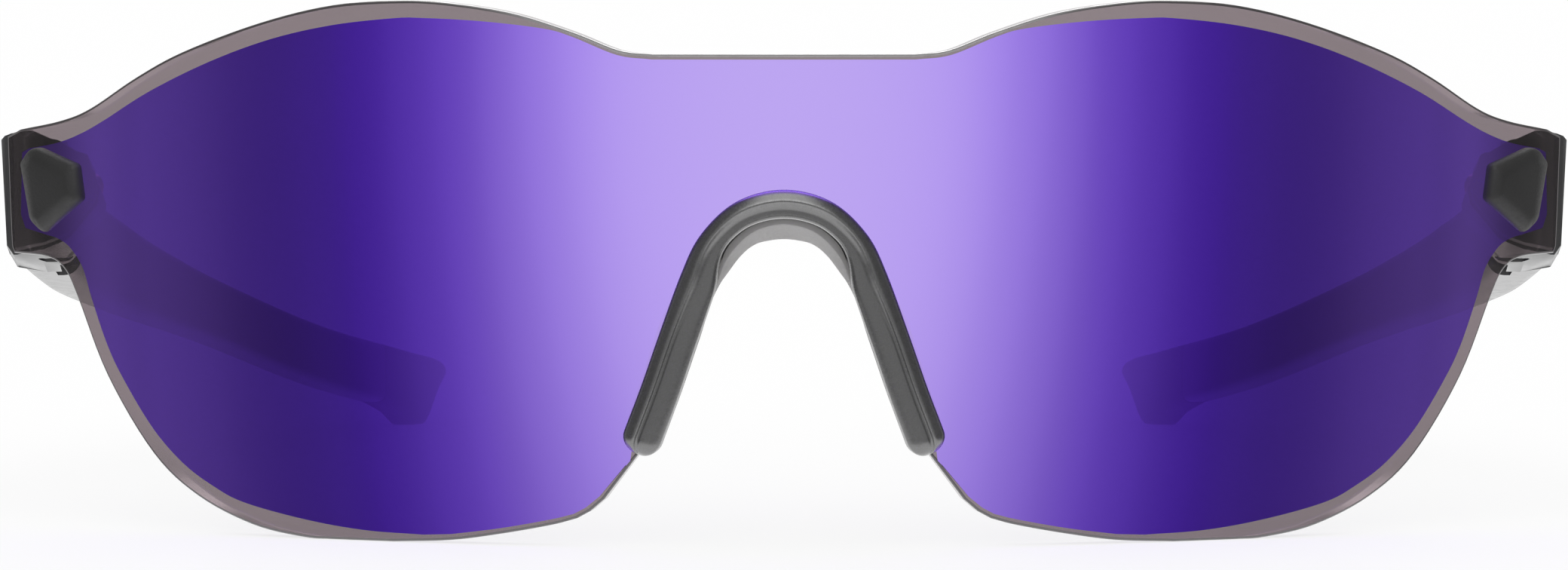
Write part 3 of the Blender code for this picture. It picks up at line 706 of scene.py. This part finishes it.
def flat_outline(points, depth):
    """Puts the selected circle's points on an outline of (s, z) points."""
    mesh = bmesh.from_edit_mesh(bpy.context.object.data)
    chosen = [vertex for vertex in mesh.verts if vertex.select]
    for vertex, (s, z) in zip(chosen, points):
        vertex.co = (s, depth, z)
    bmesh.update_edit_mesh(bpy.context.object.data)


def round_off(radius):
    """Rounds the edge of the selected broad face by insets that climb a quarter circle."""
    before = 0.0
    for angle in LENS_EDGE_TURNS:
        drawn_in = radius * (math.cos(before) - math.cos(angle))
        risen = radius * (math.sin(angle) - math.sin(before))
        bpy.ops.mesh.inset(thickness=drawn_in, depth=risen)
        before = angle


# The lens's finishes, in the order of its material slots
COATED, CLEAR, EDGE_PAINTED_SHADE = range(3)

# How squarely a broad face looks along the depth, at least
SQUARE_ON = 0.99


def assign(piece, finish):
    """Gives the selected faces one of the piece's finishes."""
    piece.active_material_index = finish
    bpy.ops.object.material_slot_assign()


def is_broad(face, facing):
    """Whether a face is the lens's whole front or back, and not a strip of its wall."""
    return face.normal.y * facing > SQUARE_ON and len(face.vertices) > 4


def make_lens(coating, tint, edge):
    """The shield: its front edge is rounded in a dark line of painted shade, and its wall and back
    are clear.
    """
    outline = lens_outline()
    bpy.ops.mesh.primitive_circle_add(vertices=len(outline), fill_type="NGON")
    lens = named("mirror_shield")
    painted(lens, coating, tint, edge)
    edit(lens, "FACE")
    bpy.ops.mesh.select_all(action="SELECT")
    flat_outline(outline, LENS_EDGE_RADIUS)
    wall = LENS_THICKNESS - 2 * LENS_EDGE_RADIUS
    bpy.ops.mesh.extrude_region_move(TRANSFORM_OT_translate={"value": (0, wall, 0)})
    bpy.ops.mesh.select_all(action="SELECT")
    bpy.ops.mesh.normals_make_consistent(inside=False)
    assign(lens, CLEAR)
    done()
    for facing in (1, -1):
        pick(lens, "polygons", lambda face: is_broad(face, facing))
        edit(lens, "FACE")
        # The front's rounded rim gets the dark finish: painted shade on the clear edge
        assign(lens, EDGE_PAINTED_SHADE if facing < 0 else CLEAR)
        round_off(LENS_EDGE_RADIUS)
        assign(lens, CLEAR)
        done()
    edit(lens, "FACE")
    bpy.ops.mesh.delete(type="ONLY_FACE")
    done()
    coat_front(lens)
    dense(lens)
    wrap(lens)
    s, z = screw_place()
    for side in (1, -1):
        axes = lens_axes(side * s, z, 0)
        hole = rod("hole", LENS_HOLE_RADIUS, -LENS_THICKNESS - OVERRUN, OVERRUN, axes)
        joined(lens, hole, "DIFFERENCE")
    smooth(lens, LENS_SMOOTH_ANGLE)
    fitted(lens, "front", "mirror_lens", "shield_lens")


def coat_front(lens):
    """Fills the lens's front with the clear band and, inside it, the mirror coating."""
    outline = coating_outline()
    first = len(lens.data.vertices)
    edit(lens)
    bpy.ops.mesh.select_all(action="DESELECT")
    bpy.ops.mesh.primitive_circle_add(vertices=len(outline))
    flat_outline(outline, 0)
    done()
    pick(lens, "vertices", lambda vertex: abs(vertex.co.y) < MERGE_REACH)
    edit(lens)
    bpy.ops.mesh.fill(use_beauty=True)
    assign(lens, CLEAR)
    done()
    pick(lens, "vertices", lambda vertex: vertex.index >= first)
    edit(lens)
    bpy.ops.mesh.edge_face_add()
    bpy.ops.mesh.select_mode(type="FACE")
    assign(lens, COATED)
    bpy.ops.mesh.select_all(action="SELECT")
    bpy.ops.mesh.normals_make_consistent(inside=False)
    done()


def dense(lens):
    """Cuts the flat lens into small squares, so that it bends smoothly."""
    columns = round(2 * LENS_SIDE_LENGTH / LENS_FACET)
    rows = round(LENS_HEIGHT / LENS_FACET)
    width = 2 * LENS_SIDE_LENGTH
    cuts = [((width * (k / columns - 0.5), 0, 0), (1, 0, 0)) for k in range(1, columns)]
    cuts += [((0, 0, LENS_HEIGHT * k / rows), (0, 0, 1)) for k in range(1, rows)]
    edit(lens)
    for place, normal in cuts:
        bpy.ops.mesh.select_all(action="SELECT")
        bpy.ops.mesh.bisect(plane_co=place, plane_no=normal, threshold=MERGE_REACH)
    done()


def screw_place():
    return LENS_SIDE_LENGTH - SCREW_INSET, block_foot() + SCREW_UP_SHARE * BLOCK_HEIGHT


# Nosepiece


def leg_share(height):
    """0 over the arch and 1 down the legs, by the share of the lens's height."""
    share = min(1, max(0, (LEG_START_SHARE - height) / (LEG_START_SHARE - LEG_FULL_SHARE)))
    return share**2 * (3 - 2 * share)


def swept(name, section, end_reach, closed):
    """Sweeps section(share of the lens's height) along the cut-out, closed in half rounds."""
    path = [Vector(p) for p in arch_over(NOTCH_SHARES, 2 * CURVE_STEPS)]
    last = len(path) - 1
    ways = [(path[min(k + 1, last)] - path[max(k - 1, 0)]).normalized() for k in range(last + 1)]
    stations = [(place, way, 1) for place, way in zip(path, ways)]
    for step in range(1, NOSE_END_STEPS + 1):
        turn = NOSE_END_TURN * step / NOSE_END_STEPS
        past = end_reach * math.sin(turn)
        stations.insert(0, (path[0] - ways[0] * past, ways[0], math.cos(turn)))
        stations.append((path[-1] + ways[-1] * past, ways[-1], math.cos(turn)))
    rings = []
    for place, way, narrowed in stations:
        outward = Vector((way.y, -way.x))
        ring = []
        for across, depth in section(place.y / LENS_HEIGHT):
            across, depth = closed(across, depth, narrowed)
            spot = place + outward * across
            ring.append(lens_point(spot.x, spot.y, depth))
        rings.append(ring)
    return skin(name, rings)


def rail_section(height):
    """C-shaped section round the lens's edge, as (across, depth) pairs, crowned in front."""
    leg = leg_share(height)
    reach = RAIL_REACH * value_at(RAIL_REACH_SHARES, height)
    crest = RAIL_RISE + GAP
    lap = between(RAIL_ARCH_LAP, RAIL_LEG_LAP, leg)
    tongue = min(GAP + TONGUE_THICKNESS, reach)
    hook = LENS_THICKNESS + GAP
    crown = []
    for (arch_in, arch_up), (leg_in, leg_up) in zip(RAIL_ARCH_SHARES, RAIL_LEG_SHARES):
        inwards = between(arch_in, leg_in, leg) * (lap + reach)
        crown.append((lap - inwards, -crest * between(arch_up, leg_up, leg)))
    return [(lap, -SNUG)] + curve_through(crown, CROWN_STEPS)[1:] + [
        (-reach, RAIL_FRONT_DEPTH),
        (-tongue, RAIL_FRONT_DEPTH + GAP),
        (-tongue, hook + HOOK_THICKNESS),
        (HOOK_LAP, hook + HOOK_THICKNESS),
        (HOOK_LAP, hook),
        (-GAP, hook),
        (-GAP, -GAP),
    ]


def pad_section(height):
    """Section of the soft saddle, which hugs the rail's tongue and hook."""
    leg = leg_share(height)
    reach = RAIL_REACH * value_at(RAIL_REACH_SHARES, height)
    front = RAIL_FRONT_DEPTH + GAP + SNUG
    tongue = min(GAP + TONGUE_THICKNESS, reach) + SNUG
    hook = LENS_THICKNESS + GAP + HOOK_THICKNESS + SNUG
    front_reach = RAIL_REACH * value_at(PAD_FRONT_SHARES, height)
    rear_inner = -RAIL_REACH * value_at(PAD_REAR_SHARES, height)
    rear_outer = between(PAD_LAP, RAIL_LEG_LAP + PAD_WING, leg)
    inner_edge, outer_edge = PAD_EDGE_SHARES
    face = [
        (-front_reach, front),
        ((rear_inner - front_reach) / 2 - GAP * leg, (front + PAD_DEPTH) / 2),
        (rear_inner, PAD_DEPTH * inner_edge),
    ]
    back = [
        (rear_outer, PAD_DEPTH * outer_edge),
        ((rear_outer + PAD_LAP) / 2, (hook + PAD_DEPTH) / 2),
        (PAD_LAP, hook),
    ]
    section = [(-tongue, front)] + curve_through(face, SADDLE_STEPS)
    section += [((rear_inner + rear_outer) / 2, PAD_DEPTH)]
    return section + curve_through(back, SADDLE_STEPS) + [(-tongue, hook)]


def rail_closed(across, depth, narrowed):
    """The rail's ends draw in a little inside the cut-out's edge and sink to the lens."""
    sunk = (min(depth, -GAP) + GAP) * (narrowed - 1)
    return (across + NOSE_END_INSET) * narrowed - NOSE_END_INSET, depth + sunk


def saddle_closed(across, depth, narrowed):
    """The saddle's ends draw in towards the middle of its section."""
    middle_across = (RAIL_LEG_LAP + PAD_WING) / 3
    middle_depth = (LENS_THICKNESS + PAD_DEPTH) / 2
    narrowed = (1 + narrowed) / 2
    return (
        middle_across + (across - middle_across) * narrowed,
        middle_depth + (depth - middle_depth) * narrowed,
    )


def make_nosepiece(rail_finish, rubber):
    rail = swept("nose_rail", rail_section, RAIL_END_REACH, rail_closed)
    painted(rail, rail_finish)
    smooth(rail, RAIL_SMOOTH_ANGLE)
    fitted(rail, "front", "rail_plastic", "nose_carrier")
    saddle = swept("nose_saddle", pad_section, PAD_END_REACH, saddle_closed)
    rounded(saddle, PAD_ROUNDING, PAD_CORNER)
    painted(saddle, rubber)
    smooth(saddle, PAD_SMOOTH_ANGLE)
    fitted(saddle, "front", "soft_rubber", "nose_pad")


# Corner block with its rubber seat


def seat_depth():
    return LENS_THICKNESS + GAP


def block_depth():
    return seat_depth() + SEAT_THICKNESS + GAP


def block_foot():
    return BLOCK_MIDDLE_SHARE * LENS_HEIGHT - BLOCK_HEIGHT / 2


def knuckle_foot():
    return block_foot() + KNUCKLE_RISE


def block_outer_x():
    return lens_point(LENS_SIDE_LENGTH, block_foot(), 0).x + BLOCK_OVERHANG


def rear_y():
    return FRONT_Y + lens_end_back() + BLOCK_REAR


def hinge_x():
    return block_outer_x() - ARM_SETBACK - ARM_FRONT_WIDTH + KNUCKLE_RADIUS


def hinge_y():
    return rear_y() + HINGE_BACKSET


def hinge_axes():
    return Matrix.Translation((hinge_x(), hinge_y(), 0))


def shell_y(x, depth):
    turn = math.asin(x / (WRAP_RADIUS - depth))
    return FRONT_Y + WRAP_RADIUS - (WRAP_RADIUS - depth) * math.cos(turn)


def shell_points(depth, inner, outer, count=SHELL_STEPS):
    """Plan points along one depth of the lens, between two places across."""
    across = [inner + (outer - inner) * k / count for k in range(count + 1)]
    return [(x, shell_y(x, depth)) for x in across]


def face_prism(inset):
    """The block's face outline run from front to back, falling along the arm's slope."""
    inner = block_outer_x() - BLOCK_WIDTH
    rings = []
    for y in (FRONT_Y, rear_y() + OVERRUN):
        ring = []
        for across, up in BLOCK_FACE_SHARES:
            x = inner + inset + across * (BLOCK_WIDTH - 2 * inset)
            z = block_foot() + inset + up * (BLOCK_HEIGHT - 2 * inset)
            slope = between(BLOCK_FOOT_SLOPE, BLOCK_TOP_SLOPE, up)
            ring.append(Vector((x, y, z - slope * (y - shell_y(x, block_depth())))))
        rings.append(ring)
    return skin("face_prism", rings)


def block_span():
    return block_foot() - BLOCK_HEIGHT, block_foot() + 2 * BLOCK_HEIGHT


def ear_inner_x():
    return hinge_x() - KNUCKLE_RADIUS * math.cos(EAR_TURN)


def block_plan():
    inner = block_outer_x() - BLOCK_WIDTH - OVERRUN
    outer = block_outer_x() + OVERRUN
    front = shell_points(block_depth(), inner, block_outer_x())
    front += [(outer, shell_y(block_outer_x(), block_depth()))]
    back_depth = block_depth() + BLOCK_THICKNESS
    neck_x = hinge_x() - KNUCKLE_RADIUS * NECK_SHARE
    neck_y = hinge_y() - KNUCKLE_RADIUS - 2 * GAP
    back = shell_points(back_depth, inner, neck_x, SHELL_STEPS // 2)
    back += [(ear_inner_x(), neck_y), (ear_inner_x(), rear_y())]
    return front + [(outer, rear_y())] + list(reversed(back))


def ear_outline():
    """An ear's plan: round the hinge axis, with straight sides that reach into the block."""
    half = ROUND_SIDES // 2
    turns = [math.pi * k / half for k in range(half + 1)]
    turns += [math.pi + EAR_TURN * k / EAR_TURN_STEPS for k in range(1, EAR_TURN_STEPS + 1)]
    outline = []
    for angle in turns:
        x = hinge_x() + KNUCKLE_RADIUS * math.cos(angle)
        outline.append((x, hinge_y() + KNUCKLE_RADIUS * math.sin(angle)))
    root = rear_y() - EAR_ROOT
    return outline + [(ear_inner_x(), root), (hinge_x() + KNUCKLE_RADIUS, root)]


def lower_ear_foot():
    return knuckle_foot() - GAP - EAR_HEIGHT


def upper_ear_foot():
    return knuckle_foot() + KNUCKLE_HEIGHT + GAP


def ear_top():
    return upper_ear_foot() + EAR_HEIGHT


def drain_slot():
    """The oval slot in the block's underside, just ahead of the hinge."""
    place = Matrix.Translation((hinge_x() - SLOT_OFFSET, rear_y() - SLOT_AHEAD, 0))
    axes = place @ Matrix.Diagonal((1, SLOT_NARROW_SHARE, 1, 1))
    return rod("slot", SLOT_HALF_LENGTH, 0, block_foot() + SLOT_DEPTH, axes)


def make_blocks(finish):
    block = plate("left_corner_block", block_plan(), *block_span())
    joined(block, face_prism(0), "INTERSECT")
    rounded(block, BLOCK_ROUNDING, BLOCK_CORNER)
    for foot in (lower_ear_foot(), upper_ear_foot()):
        joined(block, plate("ear", ear_outline(), foot, foot + EAR_HEIGHT), "UNION")
    slot = rod("slot", KNUCKLE_RADIUS + GAP, knuckle_foot() - GAP, upper_ear_foot(), hinge_axes())
    joined(block, slot, "DIFFERENCE")
    joined(block, rod("bore", PIN_RADIUS + ROUND_GAP, 0, LENS_HEIGHT, hinge_axes()), "DIFFERENCE")
    room = rod("head_room", PIN_HEAD_RADIUS + GAP, ear_top(), LENS_HEIGHT, hinge_axes())
    joined(block, room, "DIFFERENCE")
    s, z = screw_place()
    axes = lens_axes(s, z, block_depth())
    pocket = rod("pocket", INSERT_RADIUS + ROUND_GAP, -INSERT_LENGTH - 2 * GAP, OVERRUN, axes)
    joined(block, pocket, "DIFFERENCE")
    joined(block, drain_slot(), "DIFFERENCE")
    painted(block, finish)
    for piece, word in ((block, "left"), (other_side(block), "right")):
        smooth(piece)
        fitted(piece, "front", "frame_plastic", f"{word}_end_block")


def make_seats(rubber):
    inner = block_outer_x() - BLOCK_WIDTH - OVERRUN
    outer = block_outer_x() - BLOCK_OVERHANG - SEAT_INSET
    plan = shell_points(seat_depth(), inner, outer)
    plan += list(reversed(shell_points(seat_depth() + SEAT_THICKNESS, inner, outer)))
    seat = plate("left_rubber_seat", plan, *block_span())
    joined(seat, face_prism(SEAT_INSET), "INTERSECT")
    s, z = screw_place()
    axes = lens_axes(s, z, seat_depth())
    hole = rod("hole", LENS_HOLE_RADIUS, -SEAT_THICKNESS - OVERRUN, OVERRUN, axes)
    joined(seat, hole, "DIFFERENCE")
    rounded(seat, SEAT_ROUNDING, SEAT_CORNER, 2)
    painted(seat, rubber)
    for piece, word in ((seat, "left"), (other_side(seat), "right")):
        smooth(piece)
        fitted(piece, "front", "soft_rubber", f"{word}_lens_seat")


# Caps


def make_caps(finish):
    s, z = screw_place()
    axes = lens_axes(s, z, 0)
    rings = []
    for shares, rise in (
        (CAP_FOOT_SHARES, GAP),
        (CAP_FOOT_SHARES, GAP + CAP_WALL_RISE),
        (CAP_FACE_SHARES, GAP + CAP_RISE),
    ):
        rings.append([axes @ Vector((u * CAP_WIDTH, v * CAP_HEIGHT, rise)) for u, v in shares])
    cap = skin("left_corner_cap", rings)
    rounded(cap, CAP_ROUNDING, CAP_CORNER)
    pocket_depth = 2 * GAP + SCREW_HEAD_HEIGHT
    pocket = rod("pocket", SCREW_HEAD_RADIUS + GAP, -OVERRUN, pocket_depth, axes)
    joined(cap, pocket, "DIFFERENCE")
    painted(cap, finish)
    for piece, word in ((cap, "left"), (other_side(cap), "right")):
        smooth(piece)
        piece.visible_glossy = False
        fitted(piece, "front", "cap_plastic", f"{word}_lens_cap")


# Temple arms


def arm_front():
    return rear_y() + GAP


def arm_centre_x(way):
    start = block_outer_x() - ARM_SETBACK - ARM_FRONT_WIDTH / 2
    bend = ARM_INWARD_START_SHARE * way + (1 - ARM_INWARD_START_SHARE) * way**2
    return start - ARM_INWARD_REACH * bend


def arm_underside(way):
    return (block_foot() - ARM_FRONT_DROP) * (1 - value_at(ARM_FALL_SHARES, way))


def arm_size(way):
    width = ARM_FRONT_WIDTH * value_at(ARM_WIDTH_SHARES, way)
    return width, ARM_FRONT_HEIGHT * value_at(ARM_HEIGHT_SHARES, way)


def arm_ring(way, foot, top, width, lean=0):
    """A rounded upright section of the arm, whose foot lies lean in front of its top."""
    corner = min(width, top - foot) * ARM_CORNER_SHARE
    half = width / 2
    ring = []
    for turn, cx, cz in (
        (0, half - corner, top - corner),
        (1, -half + corner, top - corner),
        (2, -half + corner, foot + corner),
        (3, half - corner, foot + corner),
    ):
        for step in range(CORNER_STEPS + 1):
            angle = (turn + step / CORNER_STEPS) * math.pi / 2
            z = cz + corner * math.sin(angle)
            at = way - lean / ARM_LENGTH * (top - z) / (top - foot)
            x = arm_centre_x(at) + cx + corner * math.cos(angle)
            ring.append(Vector((x, arm_front() + at * ARM_LENGTH, z)))
    return ring


def arm_rings(start, end, count, inset=0):
    """Plain sections of the arm, drawn in by inset for its core."""
    rings = []
    for k in range(count + 1):
        way = start + (end - start) * k / count
        width, height = arm_size(way)
        foot = arm_underside(way)
        rings.append(arm_ring(way, foot + inset, foot + height - inset, width - 2 * inset))
    return rings


def tip_start():
    return 1 - TIP_LENGTH / ARM_LENGTH


def make_arms(finish):
    core_end = 1 - (TIP_SLANT + TIP_WALL) / ARM_LENGTH
    rings = arm_rings(0, tip_start(), ARM_STATIONS)
    rings += arm_rings(tip_start(), core_end, CORE_STATIONS, TIP_WALL)
    arm = skin("left_arm_body", rings)
    knuckle_top = knuckle_foot() + KNUCKLE_HEIGHT
    axes = hinge_axes()
    room = KNUCKLE_RADIUS + GAP
    for low, high in ((lower_ear_foot() - GAP, knuckle_foot()), (knuckle_top, LENS_HEIGHT)):
        joined(arm, rod("ear_room", room, low, high, axes), "DIFFERENCE")
    inboard = hinge_x() - KNUCKLE_RADIUS - OVERRUN
    ahead = rear_y() - OVERRUN
    corner = ("corner", hinge_y(), LENS_HEIGHT)
    heel = ("heel", hinge_y() + room + GAP, lower_ear_foot())
    for name, behind, high in (corner, heel):
        plan = ((inboard, behind), (inboard, ahead), (hinge_x(), ahead), (hinge_x(), behind))
        joined(arm, plate(name, plan, 0, high), "DIFFERENCE")
    joined(arm, rod("knuckle", KNUCKLE_RADIUS, knuckle_foot(), knuckle_top, axes), "UNION")
    bore = rod("bore", PIN_RADIUS + ROUND_GAP, lower_ear_foot(), LENS_HEIGHT, axes)
    joined(arm, bore, "DIFFERENCE")
    painted(arm, finish)
    for piece, word in ((arm, "left"), (other_side(arm), "right")):
        smooth(piece)
        fitted(piece, f"{word}_arm", "frame_plastic", f"{word}_temple_arm")


def make_tips(rubber):
    """The soft sleeves, each with a foot bump that is flat where it stands."""
    split = tip_start() + GAP / ARM_LENGTH
    rings = []
    for k in range(TIP_STATIONS + 1):
        share = k / TIP_STATIONS
        way = split + (1 - split) * share
        width, height = arm_size(way)
        rounding = value_at(TIP_ROUNDING_SHARES, share)
        top = arm_underside(way) + height
        foot = arm_underside(way) - TIP_BUMP * value_at(TIP_BUMP_SHARES, share)
        draw_in = (top - foot) * (1 - rounding) / 2
        lean = TIP_SLANT * share
        rings.append(arm_ring(way, foot + draw_in, top - draw_in, width * rounding, lean))
    for ring in rings:
        for point in ring:
            point.z = max(point.z, 0)
    tip = skin("left_arm_sleeve", rings)
    rounded(tip, TIP_ROUNDING, TIP_CORNER)
    core_end = 1 - (TIP_SLANT + TIP_WALL - GAP) / ARM_LENGTH
    space = arm_rings(tip_start() - GAP / ARM_LENGTH, core_end, CORE_STATIONS, TIP_WALL - GAP)
    joined(tip, skin("core_space", space), "DIFFERENCE")
    painted(tip, rubber)
    for piece, word in ((tip, "left"), (other_side(tip), "right")):
        smooth(piece, TIP_SMOOTH_ANGLE)
        fitted(piece, f"{word}_arm", "soft_rubber", f"{word}_temple_tip")


def make_pins(steel):
    """Hinge pins with a domed, slotted head."""
    foot = ear_top() + GAP
    axes = hinge_axes()
    pin = rod("left_fold_pin", PIN_RADIUS, lower_ear_foot(), foot + GAP, axes)
    head = rod("head", PIN_HEAD_RADIUS, foot, foot + PIN_HEAD_HEIGHT, axes)
    rounded(head, PIN_HEAD_HEIGHT * PIN_DOME_SHARE)
    joined(pin, head, "UNION")
    slot_depth = PIN_HEAD_HEIGHT * PIN_SLOT_DEPTH_SHARE
    slot = []
    for x, y in ((1, 1), (-1, 1), (-1, -1), (1, -1)):
        half_width = y * PIN_HEAD_RADIUS * PIN_SLOT_WIDTH_SHARE
        slot.append((x * OVERRUN + hinge_x(), half_width + hinge_y()))
    top = foot + PIN_HEAD_HEIGHT
    joined(pin, plate("slot", slot, top - slot_depth, top + OVERRUN), "DIFFERENCE")
    painted(pin, steel)
    for piece, word in ((pin, "left"), (other_side(pin), "right")):
        smooth(piece)
        fitted(piece, "front", "screw_steel", f"{word}_hinge_pin")


# Studio


def make_camera():
    bpy.ops.object.camera_add(location=CAMERA_PLACE, rotation=(math.pi / 2 - CAMERA_DOWN, 0, 0))
    camera = bpy.context.object
    camera.data.sensor_width = SENSOR_WIDTH_MM
    camera.data.lens = FOCAL_PIXELS / PHOTO_WIDTH * SENSOR_WIDTH_MM
    bpy.context.scene.camera = camera


# The studio that gloss mirrors: light by how far a direction leans to the front light
LIGHT_UP = math.radians(10)
FRONT_LIGHT = (
    (0.0, 0.09), (0.165, 0.11), (0.245, 0.205), (0.32, 0.185), (0.37, 0.182), (0.466, 0.145),
    (0.547, 0.112), (0.624, 0.132), (0.69, 0.196), (0.751, 0.307), (0.803, 0.438), (0.847, 0.573),
    (0.883, 0.734), (0.915, 0.866), (0.945, 0.97), (1.0, 1.0),
)

# Levels of its other lights, and between which heights or sides each one fades
SOFTBOX_LEVEL = 7.0
SOFTBOX = ((0.0, 0.0), (0.40, 0.0), (0.49, 0.85), (0.55, 1.0), (0.68, 0.6), (1.0, 0.5))
SOFTBOX_SIDES = (0.20, 0.45)
CEILING_LEVEL = 0.2
CEILING_HEIGHTS = (0.35, 0.75)
BELOW_LEVEL = 2.6
BELOW_HEIGHTS = (-0.55, -0.30)
BEHIND_SIDES = (0.02, 0.20)
BEHIND_LEVEL = 1.6
BEHIND_FOOT_HEIGHTS = (-0.55, -0.05)
BEHIND_TOP_HEIGHTS = (0.30, 0.50)


def make_world():
    """White for the camera and through glass, plain for matt surfaces, and for gloss a studio:
    a big soft light round the camera, a bright one over it, dim sides, bright table and wall."""
    world = bpy.data.worlds.new("white_studio")
    bpy.context.scene.world = world
    world.use_nodes = True
    tree = world.node_tree
    tree.nodes.clear()
    way = node(tree, "TexCoord").outputs["Generated"]

    def towards(place):
        made = node(tree, "VectorMath", **{"0": way, "1": place})
        made.operation = "DOT_PRODUCT"
        return made.outputs["Value"]

    def greys(value, levels):
        return ramp(tree, value, [(place, (grey,) * 3) for place, grey in levels])

    level = greys(towards((0, -math.cos(LIGHT_UP), math.sin(LIGHT_UP))), FRONT_LIGHT)
    split = node(tree, "SeparateXYZ", Vector=way)
    height = split.outputs["Z"]
    aside = worked_out(tree, "ABSOLUTE", split.outputs["X"])
    softbox = greys(height, SOFTBOX)
    softbox_sides = spread(tree, aside, SOFTBOX_LEVEL, 0, *SOFTBOX_SIDES)
    softbox = worked_out(tree, "MULTIPLY", softbox, softbox_sides)
    ceiling = spread(tree, height, 0, CEILING_LEVEL, *CEILING_HEIGHTS)
    below = spread(tree, height, BELOW_LEVEL, 0, *BELOW_HEIGHTS)
    behind = spread(tree, split.outputs["Y"], 0, 1, *BEHIND_SIDES)
    behind_foot = spread(tree, height, BEHIND_LEVEL, 1, *BEHIND_FOOT_HEIGHTS)
    behind = worked_out(tree, "MULTIPLY", behind, behind_foot)
    behind_top = spread(tree, height, 1, 0, *BEHIND_TOP_HEIGHTS)
    behind = worked_out(tree, "MULTIPLY", behind, behind_top)
    for other in (softbox, ceiling, below, behind):
        level = worked_out(tree, "MAXIMUM", level, other)
    studio = node(tree, "Background", Color=level, Strength=1.0)
    plain = node(tree, "Background", Color=WHITE, Strength=1.0)
    glossy = node(tree, "LightPath").outputs["Is Glossy Ray"]
    mixed = blend_shaders(tree, glossy, plain.outputs[0], studio.outputs[0])
    output = tree.nodes.new("ShaderNodeOutputWorld")
    tree.links.new(mixed, output.inputs["Surface"])


TABLE_SIZE = 60
TABLE_COLOUR = (0.985, 0.985, 0.985, 1)
TABLE_GRAIN = 40
TABLE_SHINE = (0.10, 0.14)
TABLE_GLOSS_SHARE = 0.04
TABLE_LIFT_SHARE = 0.72


def make_table():
    """A pale table, a little glossy, that reaches past the view and looks nearly white."""
    material, tree, output = recipe("white_table")
    matt = node(tree, "BsdfDiffuse", Color=TABLE_COLOUR)
    shine = spread(tree, noise(tree, TABLE_GRAIN), *TABLE_SHINE)
    gloss = node(tree, "BsdfGlossy", Color=WHITE, Roughness=shine)
    top = blend_shaders(tree, TABLE_GLOSS_SHARE, matt.outputs[0], gloss.outputs[0])
    glow = node(tree, "Emission", Color=WHITE, Strength=1.0)
    seen = node(tree, "LightPath").outputs["Is Camera Ray"]
    share = worked_out(tree, "MULTIPLY", seen, TABLE_LIFT_SHARE)
    lifted = blend_shaders(tree, share, top, glow.outputs[0])
    tree.links.new(lifted, output.inputs["Surface"])
    bpy.ops.mesh.primitive_plane_add(size=TABLE_SIZE, location=(0, 0, 0))
    table = named("white_table_top")
    painted(table, material)
    table.visible_glossy = False


# Plastics, rubbers and metals: dark and light colour, shine, grain, relief, metal, gloss
FINISHES = {
    # The lens's edge: a dark finish of painted shade on its clear rim
    "edge": ((0.055, 0.05, 0.052), (0.07, 0.063, 0.065), (0.12, 0.2), 900, 1e-6, 0.0, 0.5),
    "rail": ((0.040, 0.040, 0.040), (0.048, 0.048, 0.048), (0.24, 0.32), 2600, 1e-5, 0.0, 0.95),
    "saddle": ((0.27, 0.265, 0.26), (0.30, 0.295, 0.29), (0.6, 0.75), 3200, 2e-5, 0.0, 0.5),
    "rubber": ((0.028, 0.027, 0.027), (0.036, 0.035, 0.035), (0.5, 0.65), 3200, 2e-6, 0.0, 0.5),
    "frame": ((0.018, 0.018, 0.019), (0.024, 0.024, 0.025), (0.16, 0.24), 900, 4e-7, 0.0, 0.5),
    "cap": ((0.014, 0.014, 0.014), (0.022, 0.022, 0.022), (0.5, 0.62), 4200, 4e-5, 0.0, 0.25),
    "steel": ((0.5, 0.5, 0.52), (0.62, 0.62, 0.64), (0.22, 0.36), 2400, 1e-5, 1.0, 0.5),
    "brass": ((0.62, 0.44, 0.2), (0.74, 0.56, 0.28), (0.28, 0.42), 2400, 1e-5, 1.0, 0.5),
    "nylon": ((0.72, 0.72, 0.70), (0.8, 0.8, 0.78), (0.4, 0.55), 1800, 1e-5, 0.0, 0.5),
}

# Finishes of the small parts that keep their solids
SMALL_PARTS = (("lens_bushing", "nylon"), ("lens_screw", "steel"), ("screw_insert", "brass"))


def main():
    make_camera()
    make_world()
    make_table()
    finishes = {name: moulded(name, *look) for name, look in FINISHES.items()}
    make_lens(mirror_coating(), smoke_tint(), finishes["edge"])
    make_nosepiece(finishes["rail"], finishes["saddle"])
    make_blocks(finishes["frame"])
    make_seats(finishes["rubber"])
    make_caps(finishes["cap"])
    make_arms(finishes["frame"])
    make_tips(finishes["rubber"])
    make_pins(finishes["steel"])
    for word in ("left", "right"):
        for piece, finish in SMALL_PARTS:
            painted(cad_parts[f"{word}_{piece}"], finishes[finish])
    bpy.context.scene.view_settings.view_transform = "Standard"


main()
